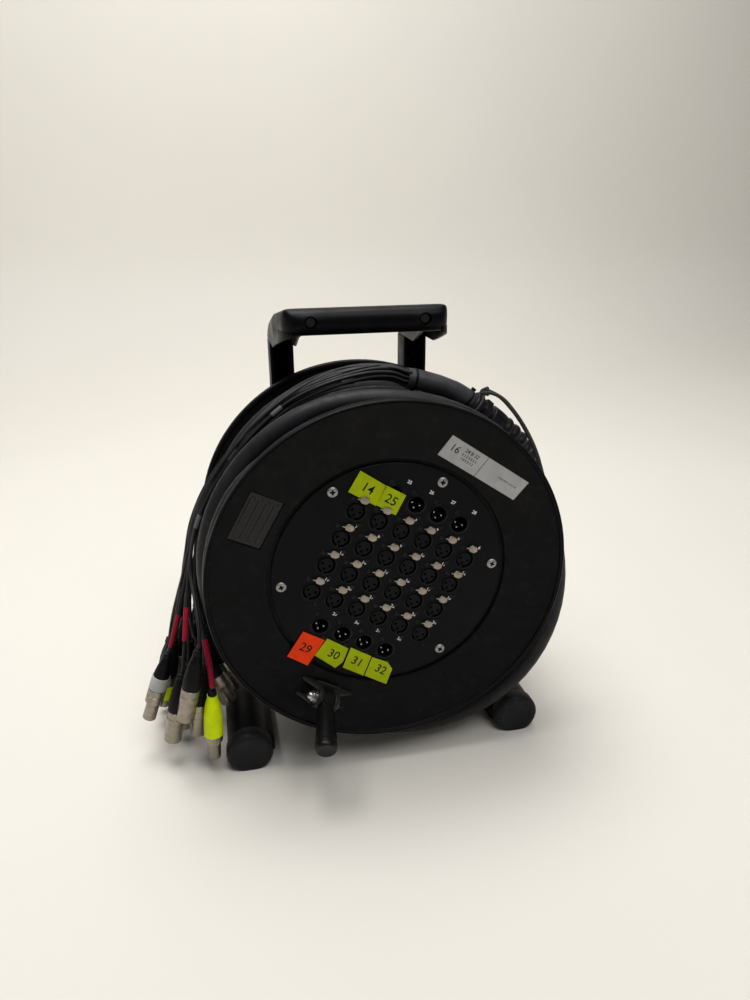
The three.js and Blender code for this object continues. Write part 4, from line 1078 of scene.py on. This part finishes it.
class SNAKE_OT_flanges(Operator):
    """Both flanges: a dished cone between a recess and a grooved rim"""

    bl_idname = "snake.flanges"
    bl_label = "Flanges"

    rim = [(127, 0.5), (127.6, 0), (129, -0.3), (182.6, -10.5), (184, -11.2), (184.5, -12), (184.5, -13.5),
           (185, -14), (186.2, -14), (186.4, -13.3), (187, -13.3), (187.2, -14), (187.9, -13.9),
           (188.7, -13.2), (189, -12.4), (189, -9.9), (188.3, -9.5), (188.3, -8.7), (189, -8.3), (189, -5.4),
           (188.6, -4.5), (187.6, -4), (185, -4), (184.5, -4.6), (184.5, -5.4), (183, -6.2)]

    def execute(self, context):
        steps = context.scene.snake_sizes.steps
        front = turned("front_disc", [(106, 3.4), (126.6, 3.4), (127, 3), *self.rim, (127, 7.3), (106.4, 7.3),
                                      (106, 7)], steps)
        place = at(-153.6, -5.1, 0.3) @ Matrix.Rotation(atan(CONE), 4, "Z")
        notch = rounded(slab("notch", (-19, 19), (-6, 1.1), (-27.5, 27.5)), 0.9, 2)
        carved(front, moved(notch, place))
        kept(front, "drum", "flange", ["front_flange"], DRUM, 30)
        bars = [slab("badge", (-17.6, 17.6), (0.55, 1.35), (-26.1, 26.1))]
        for x in (-12.6, -4.2, 4.2, 12.6):
            bars.append(rounded(slab("bar", (x - 2.4, x + 2.4), (0.0, 1), (-22, 22)), 0.4, 1))
        badge = moved(joined("flange_badge", *bars), place)
        kept(badge, "drum", "badge", place=DRUM)

        back = [(r, 2 * DRUM_MIDDLE - y) for r, y in self.rim[1:]]
        rear = turned("rear_disc", [(127, 182), *back, (127, 174.7), (30, 174.7), (29, 173.6), (28.6, 160.4),
                                    (27.6, 159.7), (20.6, 159.7), (20.6, 196), (28.6, 196), (29.6, 195),
                                    (30.4, 183), (31.6, 182)], steps)
        kept(rear, "drum", "flange", ["rear_flange"], DRUM, 30)
        return {"FINISHED"}


class SNAKE_OT_panel(Operator):
    """The round panel with its screws and numbers"""

    bl_idname = "snake.panel"
    bl_label = "Socket panel"

    def execute(self, context):
        sizes = context.scene.snake_sizes
        panel = turned("panel_plate", [(0, 0), (121.9, 0), (122.5, 0.6), (122.5, 2.4), (121.9, 3), (0, 3)],
                       sizes.steps)
        hole = turned("hole", [(0, -4), (10.9, -4), (10.9, 8), (0, 8)], 40)
        slot = latch_shape("slot", 0.35, -6, 12)
        carved(panel, spread("holes", hole, [at(x, 0, z) for x, z in (*FEMALES, *MALES)]),
               spread("slots", slot, [at(x, 0, z) for x, z in FEMALES]))
        kept(panel, "drum", "panel", ["socket_panel"], DRUM, 30)

        places = [Matrix.Translation(polar(30 + 60 * k, 112.3, 2.2 * (k == 4)) * MM)
                  @ Matrix.Rotation(k * 1.3, 4, "Y") for k in range(6)]
        kept(spread("panel_screws", self.screw("big_screw", 5.4, 1.5, cross=True), places), "drum", "screw",
             place=DRUM)
        corners = [(x + s * 9.7, z - s * 11.3) for x, z in [*FEMALES, *MALES] for s in (-1, 1)]
        places = [at(x, 0, z) @ Matrix.Rotation(k * 2.1, 4, "Y") for k, (x, z) in enumerate(corners)]
        kept(spread("socket_screws", self.screw("small_screw", 2.6, 0.9), places), "drum", "black_steel",
             place=DRUM)

        figures = [written(f"figure_{i}", str(i + 1), sizes.figure, (x + 8.3, -0.02, z + 17.8), bold=0.11)
                   for i, (x, z) in enumerate([*FEMALES, *MALES])]
        kept(joined("socket_numbers", *figures), "drum", "print", place=DRUM)
        return {"FINISHED"}

    def screw(self, name, radius, high, cross=False):
        """A pan head with a slot or a cross in it"""
        head = turned(name, [(0, -high), (radius * 0.6, -high), (radius * 0.85, -high * 0.8),
                             (radius, -high * 0.15), (radius, 0.3), (0, 0.3)], 28)
        for turn in (0, pi / 2) if cross else (0.6,):
            long, wide = (radius * 0.52, radius * 0.2) if cross else (radius * 1.2, radius * 0.16)
            cutter = slab("groove", (-long, long), (-2 * high, -2 * high + high * (2.1 if cross else 1.55)),
                          (-wide, wide))
            carved(head, moved(cutter, Matrix.Rotation(turn, 4, "Y")))
        return head


def latch_shape(name, spare, front, depth):
    """The outline of a latch tab, drawn out from front to back"""
    x, z = LATCH
    half, high = 5.2 + spare, 3.8 + spare
    outline = [(x - half, z - 0.4), (x - half + 1.5, z - high + 0.9), (x - half + 3, z - high),
               (x + half - 3, z - high), (x + half - 1.5, z - high + 0.9), (x + half, z - 0.6),
               (x + half, z + 0.6), (x + half - 1.5, z + high - 0.9), (x + half - 3, z + high),
               (x - half + 3, z + high), (x - half + 1.5, z + high - 0.9), (x - half, z + 0.6)]
    return plate(name, [(a, front, b) for a, b in outline], (0, depth, 0))


class SNAKE_OT_sockets(Operator):
    """Female sockets with their latches, and male sockets with their pins"""

    bl_idname = "snake.sockets"
    bl_label = "Sockets and latches"

    triangle = ((-4.4, 0.1), (4.4, 0.1), (-0.2, -4.4))

    def execute(self, context):
        ring = turned("ring", [(9.3, -0.5), (9.5, -0.8), (10.1, -0.8), (10.9, -0.2), (10.9, 13), (0, 13),
                               (0, 10), (9.3, 10)], 64)
        slot = latch_shape("slot", 0.3, -6, 12)
        carved(ring, slot)
        insert = turned("insert", [(0, 0.5), (7.3, 0.5), (7.9, 1.1), (7.9, 10.5), (0, 10.5)], 64)
        for x, z in self.triangle:
            hole = turned("hole", [(0, -2), (1.7, -2), (1.3, 0.8), (1.2, 9), (0, 9)], 20)
            carved(insert, shifted(hole, x, 0, z))
        key = rounded(slab("key", (-1.6, 1.6), (-0.4, 8.6), (-7.4, -9.6)), 0.3)
        tab = rounded(latch_shape("tab", 0, -2.6, 4.4), 0.9, 3)
        arm = rounded(plate("arm", [(-2.4, -2.5, 12.6), (-2.4, -2.5, 14.2), (-5.6, -2.1, 13.6),
                                    (-5.6, -2.1, 12.4)], (0, 0.6, 0)), 0.15)
        tab = joined("tab", tab, arm)
        for i, (x, z) in enumerate(FEMALES):
            place = DRUM @ at(x, 0, z)
            kept(copied(ring, f"female_ring_{i + 1:02d}", place), "drum", "socket")
            kept(copied(insert, f"female_insert_{i + 1:02d}", place), "drum", "insert")
            kept(copied(key, f"female_key_{i + 1:02d}", place), "drum", "socket")
            kept(copied(tab, f"latch_{i + 1:02d}", place), f"latch_{i + 1:02d}", "latch",
                 [f"latch_tab_{i + 1:02d}"])
        cup = turned("cup", [(8.5, -0.5), (8.7, -0.9), (10.0, -0.9), (10.9, -0.2), (10.9, 13), (0, 13),
                             (0, 10.5), (8.3, 10.5)], 64)
        # A dark matte sleeve and floor inside each male cup: painted shade for the inside of the cup, not a
        # part of its own
        painted_shade_liner = turned("painted_shade_liner", [(0, 10.2), (8.2, 10.2), (8.25, 0.3), (8.05, 0.3), (8.0, 10), (0, 10)], 48)
        pins = []
        for x, z in self.triangle:
            pin = turned("pin", [(0, 1.4), (0.7, 1.5), (1.2, 2.3), (1.25, 11.5), (0, 11.5)], 20)
            pins.append(shifted(pin, x, 0, z))
        pins = joined("pins", *pins)
        for i, (x, z) in enumerate(MALES):
            place = DRUM @ at(x, 0, z)
            kept(copied(cup, f"male_cup_{i + 1}", place), "drum", "socket")
            kept(copied(painted_shade_liner, f"male_lining_{i + 1}", place), "drum", "hole")
            kept(copied(pins, f"male_pins_{i + 1}", place), "drum", "steel")
        dropped(ring, insert, key, tab, cup, painted_shade_liner, pins)
        return {"FINISHED"}


class SNAKE_OT_crank(Operator):
    """The fold-away crank: bracket, handle, bolt and cap nut"""

    bl_idname = "snake.crank"
    bl_label = "Crank"

    def execute(self, context):
        parts = []
        for side in (-1, 1):
            near, far = side * 7.1, side * 12.1
            dome = [(near, 10.8 * -sin(radians(a)), 10.8 * cos(radians(a))) for a in range(0, 181, 12)]
            outline = [*dome, (near, 15.4, -10.8), (near, 12.4, 10.8)]
            parts.append(rounded(plate("ear", outline, (far - near, 0, 0)), 0.8))
            for end in (-1, 1):
                low = end * 9.3 - 1.5
                fin = plate("fin", [(far, 1, low), (far, 15, low), (side * 30, 15, low),
                                    (side * 30, 12.6, low)], (0, 0, 3))
                parts.append(rounded(fin, 0.6))
        slope = atan(CONE)
        pad = slab("pad", (-13.5, 13.5), (0.2, 2.8), (-13.5, 13.5))
        moved(rounded(pad, 0.8, 2), at(0, 11.4, 0) @ Matrix.Rotation(slope, 4, "X"))
        wall = slab("wall", (-8, 8), (10.5, 15.5), (7.9, 10.9))
        parts.append(rounded(wall, 0.5))
        bracket = joined("crank_clevis", *parts, pad)
        kept(bracket, "drum", "crank", ["crank_bracket"], PIVOT)

        hub = turned("hub", [(4.2, -6.8), (8.6, -6.8), (9.4, -6), (9.4, 6), (8.6, 6.8), (4.2, 6.8)], 48)
        moved(hub, Matrix.Rotation(pi / 2, 4, "Z"))
        neck = rounded(slab("neck", (-6.6, 6.6), (-4, -13.5), (-6.6, 6.6)), 1.5, 3)
        grip = turned("grip", [(0, -11.2), (6.6, -11.2), (8.3, -12.2), (8.9, -14.4), (9.2, -18), (10.2, -36),
                               (11.0, -52.8), (11.1, -54.4), (10.6, -54.9), (10.6, -55.9), (11.3, -56.4),
                               (11.4, -59.6), (11.2, -61.8), (10.3, -63.4), (9.2, -63.9), (7.8, -63.5),
                               (0, -63.3)], 64)
        handle = joined("crank_grip", grip, neck, hub)
        kept(handle, "crank", "grip", ["crank_handle"], CRANK)

        quarter = Matrix.Rotation(-pi / 2, 4, "Z")
        bolt = turned("bolt", [(0, -12.6), (3.8, -12.6), (3.8, 12.4), (6.4, 12.4), (6.8, 12.8), (6.8, 13.2),
                               (5.6, 14.4), (3, 14.8), (0, 14.8)], 40)
        washer = turned("washer", [(4, 12.1), (8.2, 12.1), (8.4, 12.4), (8.4, 13.0), (4, 13.0)], 40)
        kept(moved(joined("crank_pin", bolt, washer), quarter), "drum", "steel", ["crank_bolt"], PIVOT)
        nut = rounded(turned("nut", [(0, -12.4), (5.4, -12.4), (5.9, -13), (5.9, -16.2), (5.2, -17.0),
                                     (0, -17.0)], 6), 0.4, 2, 20)
        dome = turned("dome", [(0, -16.8), (4.4, -16.8), (4.4, -18.2), (3.8, -19.8), (2.6, -21.0),
                               (1.1, -21.4), (0, -21.5)], 40)
        ring = turned("ring", [(4, -12.1), (7.4, -12.1), (7.4, -12.5), (4, -12.5)], 40)
        kept(moved(joined("crank_cap_nut", nut, dome, ring), quarter), "drum", "steel", ["crank_nut"],
             PIVOT)
        return {"FINISHED"}


class SNAKE_OT_handle(Operator):
    """The moulded carry handle, with a capped screw in each of its two pockets"""

    bl_idname = "snake.handle"
    bl_label = "Carry handle"

    def execute(self, context):
        grip = copied(frame["nodes"]["carry_handle"], "grip_moulding")
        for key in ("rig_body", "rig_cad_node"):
            if key in grip:
                del grip[key]
        grip.parent = None
        grip.matrix_world = Matrix.Identity(4)
        for x in (-60.4, 60.4):
            fill = turned("fill", [(0, 89), (7, 89), (7, 97), (0, 97)], 24)
            moved(fill, FIXED @ at(x, 0, 247.5))
            mended(grip)
            dress(grip, "BOOLEAN", operation="UNION", solver="EXACT", object=fill)
            dropped(fill)
        dress(grip, "REMESH", mode="VOXEL", voxel_size=0.0016)
        dress(grip, "SMOOTH", factor=0.5, iterations=80)
        under = [(240, 190), (240, 205), (236.4, 212), (227, 222), (206, 232.6), (154, 246.6), (132, 250),
                 (118, 248), (108, 240), (104, 226), (104, 190)]
        skirts = []
        for side in (-1, 1):
            room = plate("room", [(side * 70.6, y, z) for y, z in under], (side * 20.4, 0, 0))
            within = [(60, 250), (91.1, 250), (91.1, 152), (85.4, 111), (60, 106)]
            self.cropped(room, [(side * x, y, 180) for x, y in within], (0, 0, 90))
            carved(grip, moved(rounded(room, 2.0, 2), FIXED))
            for band, low in (
                ([(94.3, 239.7), (94.3, 150), (89.0, 106), (84.2, 96.4), (80.6, 92.4), (78.8, 95.4), (81.6, 99),
                  (86.0, 107.4), (91.2, 150.4), (91.2, 239.7)],
                 [(241, 211.6), (168, 211.6), (150, 216.5), (125, 223), (105, 228.4), (95, 232), (88, 235)]),
                ([(67.2, 239.7), (67.2, 134), (63.8, 124), (66.6, 122.4), (70.3, 133.4), (70.3, 239.7)],
                 [(241, 211.6), (168, 211.6), (134, 227), (120, 233)]),
            ):
                skirt = plate("skirt", [(side * x, y, 200) for x, y in band], (0, 0, 60))
                self.cropped(skirt, [(-100, y, z) for y, z in [*low, (low[-1][0], 239), (206, 233),
                                                               (230, 221.5), (241, 213)]], (200, 0, 0))
                skirts.append(rounded(skirt, 0.7, 2))
        below = plate("below", [(-110, 140, 190), (110, 140, 190), (110, 250, 190), (-110, 250, 190)],
                      (0, 0, 22))
        carved(grip, moved(below, FIXED))
        skirts = moved(joined("skirts", *skirts), FIXED)
        dress(grip, "BOOLEAN", operation="UNION", solver="EXACT", object=skirts)
        dropped(skirts)
        for x in (-60.4, 60.4):
            pocket = turned("pocket", [(0, 85), (6.9, 85), (6.5, 91), (6.3, 94.6), (0, 94.6)], 40)
            carved(grip, moved(pocket, FIXED @ at(x, 0, 247.5)))
        kept(grip, "frame", "handle", ["carry_handle"], angle=50)
        for name, x in (("grip_plug_left", -60.4), ("grip_plug_right", 60.4)):
            plug = turned(name, [(0, 92.6), (4.4, 92.6), (5.0, 93.1), (5.0, 96), (0, 96)], 40)
            kept(plug, "frame", "crank",
                 place=FIXED @ at(x, 0, 247.5))
        return {"FINISHED"}

    def cropped(self, piece, outline, depth):
        """Keeps what lies within an outline drawn out by a depth."""
        limits = plate("limits", outline, depth)
        dress(piece, "BOOLEAN", operation="INTERSECT", solver="EXACT", object=limits)
        dropped(limits)


class SNAKE_OT_frame(Operator):
    """The rear frame: two ribbed channel legs and the hub plate between them"""

    bl_idname = "snake.frame"
    bl_label = "Rear frame"

    def execute(self, context):
        parts = []
        for side in (-1, 1):
            parts += self.leg(side)
        hub = slab("hub", (-68, 68), (210.6, 236.6), (-45, 45))
        parts.append(rounded(hub, 2.5, 3))
        boss = turned("boss", [(12.4, 207.2), (26, 207.2), (28, 208.6), (28, 212), (12.4, 212)], 64)
        parts.append(boss)
        legs = joined("frame_moulding", *parts)
        kept(legs, "frame", "bar", ["rear_frame"], FIXED)

        axle = turned("axle", [(0, 141.4), (11, 141.4), (12, 142.4), (12, 236.9), (17.4, 236.9), (18, 237.5),
                               (18, 242.4), (16.6, 243.9), (9, 243.9), (8.6, 240.6), (0, 240.6)], 64)
        kept(axle, "frame", "steel", ["axle_spindle"], FIXED)
        return {"FINISHED"}

    def beside(self, path, distance):
        """A bent line beside another"""
        line = []
        for i, point in enumerate(path):
            runs = [b - a for a, b in zip(path[max(i - 1, 0):i + 1], path[max(i - 1, 0) + 1:i + 2])]
            normals = [Vector((-r.y, r.x)).normalized() for r in runs if r.length]
            first, second = normals[0], normals[-1]
            line.append(point + (first + second) * (distance / (1 + first.dot(second))))
        return line

    def leg(self, side):
        path = [Vector(p) for p in ((80.75, 211.2), (80.75, -40), (156.3, -205.7))]

        def outline(inset, y):
            cut = [path[0] + Vector((0, 2 * inset)), *path[1:]]
            half = 13.75 - inset
            around = self.beside(cut, half) + self.beside(cut, -half)[::-1]
            return [(side * p.x, y, p.y) for p in around]

        shell = rounded(plate("leg", outline(0, 206), (0, 34, 0)), 1.4, 3)
        carved(shell, plate("room", outline(3.4, 200), (0, 36.6, 0)))
        parts = [shell]
        for top in (205, 159, 113, 67, 21):
            a, b = side * 94, side * 67.5
            rib = plate("rib", [(a, 209, top), (b, 209, top - 25), (b, 209, top - 27.4), (a, 209, top - 2.4)],
                        (0, 29, 0))
            parts.append(rounded(rib, 0.4, 1))
        return parts


class SNAKE_OT_feet(Operator):
    """The two foot bars and their four rubber caps"""

    bl_idname = "snake.feet"
    bl_label = "Feet"

    def execute(self, context):
        cap = turned("cap", [(0, 0.6), (17.5, 0.6), (18.3, 0.1), (20.4, 0), (22.6, 0.5), (24.3, 1.7),
                             (25.3, 3.3), (25.6, 5.2), (25.6, 15.6), (25.1, 16.6), (24.2, 17), (24, 16.4),
                             (24, 4.3), (0, 4.3)], 72)
        for side, word in ((-1, "left"), (1, "right")):
            x = side * 156.3
            bar = turned("bar", [(0, 8.6), (22.9, 8.6), (23.7, 9.4), (23.7, 252.6), (22.9, 253.4), (0, 253.4)],
                         64)
            shifted(bar, x, 0, -205.7)
            flank = [(11.8, 17.8), (28.6, 1.5), (28.6, -11), (11.8, -20.7)]
            fin = plate("flank", [(x - side * u, 21.3, v - 205.7) for u, v in flank], (0, 219.4, 0))
            bar = joined(f"foot_{word}", bar, rounded(fin, 2.2, 3))
            kept(bar, "frame", "bar", [f"foot_bar_{word}"], FIXED)
            for end in ("front", "rear"):
                place = at(x, 4, -205.7)
                if end == "rear":
                    place = at(x, 258, -205.7) @ Matrix.Rotation(pi, 4, "Z")
                piece = copied(cap, f"cap_{end}_{word}", FIXED @ place)
                choose(piece)
                bpy.ops.object.mode_set(mode="EDIT")
                bpy.ops.mesh.select_all(action="SELECT")
                bpy.ops.mesh.bisect(plane_co=(0, 0, 0), plane_no=(0, 0, -1), use_fill=True, clear_outer=True)
                clear()
                kept(piece, "frame", "foot", [f"foot_cap_{end}_{word}"])
        dropped(cap)
        return {"FINISHED"}


class SNAKE_OT_labels(Operator):
    """Marking tapes and the white label, with plain figures"""

    bl_idname = "snake.labels"
    bl_label = "Tapes and labels"

    tapes = [
        ("yellow", [(-83.1, 87.8), (-51.2, 84.9), (-51.1, 61.9), (-83.7, 63.3)], "14"),
        ("yellow", [(-52.1, 85.3), (-28.2, 84.6), (-27.4, 61.3), (-51.2, 62.8)], "25"),
        ("orange", [(-53.5, -92.8), (-27.5, -93.6), (-30.6, -127.4), (-56.4, -124.6)], "29"),
        ("yellow", [(-25.8, -90.8), (1, -93.2), (3.4, -110.4), (-1.2, -119.6), (-28.7, -114)], "30"),
        ("yellow", [(3, -91.1), (29.3, -92.5), (32.6, -117.1), (6.4, -116.1)], "31"),
        ("yellow", [(30.6, -93.1), (49.9, -92.4), (58.9, -97.9), (61.5, -116.9), (33.9, -116.6)], "32"),
    ]
    rows = [
        ("16", 0.011, -8.5, 148.6), ("24 8 32", 0.0055, 10.5, 151.5), ("0 1 2 3 4 5 6", 0.0036, 10.2, 146.2),
        ("7 8 9 0 1 2", 0.0036, 9.8, 141.8), ("2 4 6 8 0 1 3 5 7 9", 0.0030, 60, 141.5),
    ]

    def execute(self, context):
        thick = context.scene.snake_sizes.tape / MM
        for k, (colour, corners, figure) in enumerate(self.tapes):
            outline = [(x, -1.15 - max(hypot(x, z) - RECESS, 0) * CONE, z) for x, z in corners]
            tape = plate(f"tape_{k + 1}", outline, (0, thick, 0))
            kept(tape, "drum", colour, place=DRUM)
            x, z = [sum(c[j] for c in corners) / len(corners) for j in (0, 1)]
            figure = moved(written(f"tape_figure_{k + 1}", figure, 0.0135, (x, -12, z), radians(4), 0, 0.12),
                           DRUM)
            kept(laid(figure, tape, 0.08, 0.04), "drum", "ink")
        corners = [(-18.9, -9, 159.9), (79.8, -9, 152), (77.3, -9, 128.4), (-21, -9, 135.5)]
        label = moved(sheeted("flange_label", corners, 15), DRUM)
        laid(label, bpy.data.objects["front_disc"], 0.1, 0.2)
        kept(label, "drum", "white")
        rows = [written(f"row_{k}", text, size, (x, -14, z), radians(4.6), 0, 0.05)
                for k, (text, size, x, z) in enumerate(self.rows)]
        line = sheeted("line", [(27.4, -14, 156.0), (27.9, -14, 156.0), (26.1, -14, 132.2),
                                (25.6, -14, 132.2)], 6)
        print_marks = moved(joined("label_print", *rows, line), DRUM)
        kept(laid(print_marks, label, 0.08, 0.04), "drum", "ink")
        return {"FINISHED"}


class SNAKE_OT_finishes(Operator):
    """Finishes for the frame's own parts that stay in view"""

    bl_idname = "snake.finishes"
    bl_label = "Finishes of kept parts"

    def execute(self, context):
        for node, colour in (("drum_barrel", "flange"), ("hub_bush", "brass"), ("axle_nut", "steel")):
            data = frame["nodes"][node].data
            data.materials.clear()
            data.materials.append(finish(colour))
        return {"FINISHED"}


STEPS = (
    SNAKE_OT_stage, SNAKE_OT_gland, SNAKE_OT_winding, SNAKE_OT_plugs, SNAKE_OT_tails, SNAKE_OT_tie,
    SNAKE_OT_flanges, SNAKE_OT_panel, SNAKE_OT_sockets, SNAKE_OT_crank, SNAKE_OT_handle, SNAKE_OT_frame,
    SNAKE_OT_feet, SNAKE_OT_labels, SNAKE_OT_finishes,
)


class SNAKE_PT_pieces(Panel):
    """Lists the sizes, the colours and the steps"""

    bl_label = "Stage box snake"
    bl_space_type = "VIEW_3D"
    bl_region_type = "UI"
    bl_category = "Snake"

    def draw(self, context):
        for group in (context.scene.snake_sizes, context.scene.snake_colours):
            box = self.layout.box()
            for key in group.__annotations__:
                box.prop(group, key)
        for step in STEPS:
            self.layout.operator(step.bl_idname)


CLASSES = (SnakeSizes, SnakeColours, *STEPS, SNAKE_PT_pieces)


def register():
    for item in CLASSES:
        bpy.utils.register_class(item)
    bpy.types.Scene.snake_sizes = PointerProperty(type=SnakeSizes)
    bpy.types.Scene.snake_colours = PointerProperty(type=SnakeColours)


def unregister():
    del bpy.types.Scene.snake_colours
    del bpy.types.Scene.snake_sizes
    for item in reversed(CLASSES):
        bpy.utils.unregister_class(item)


def main():
    register()
    for step in STEPS:
        getattr(bpy.ops.snake, step.bl_idname.split(".")[1])()


if __name__ == "__main__":
    main()
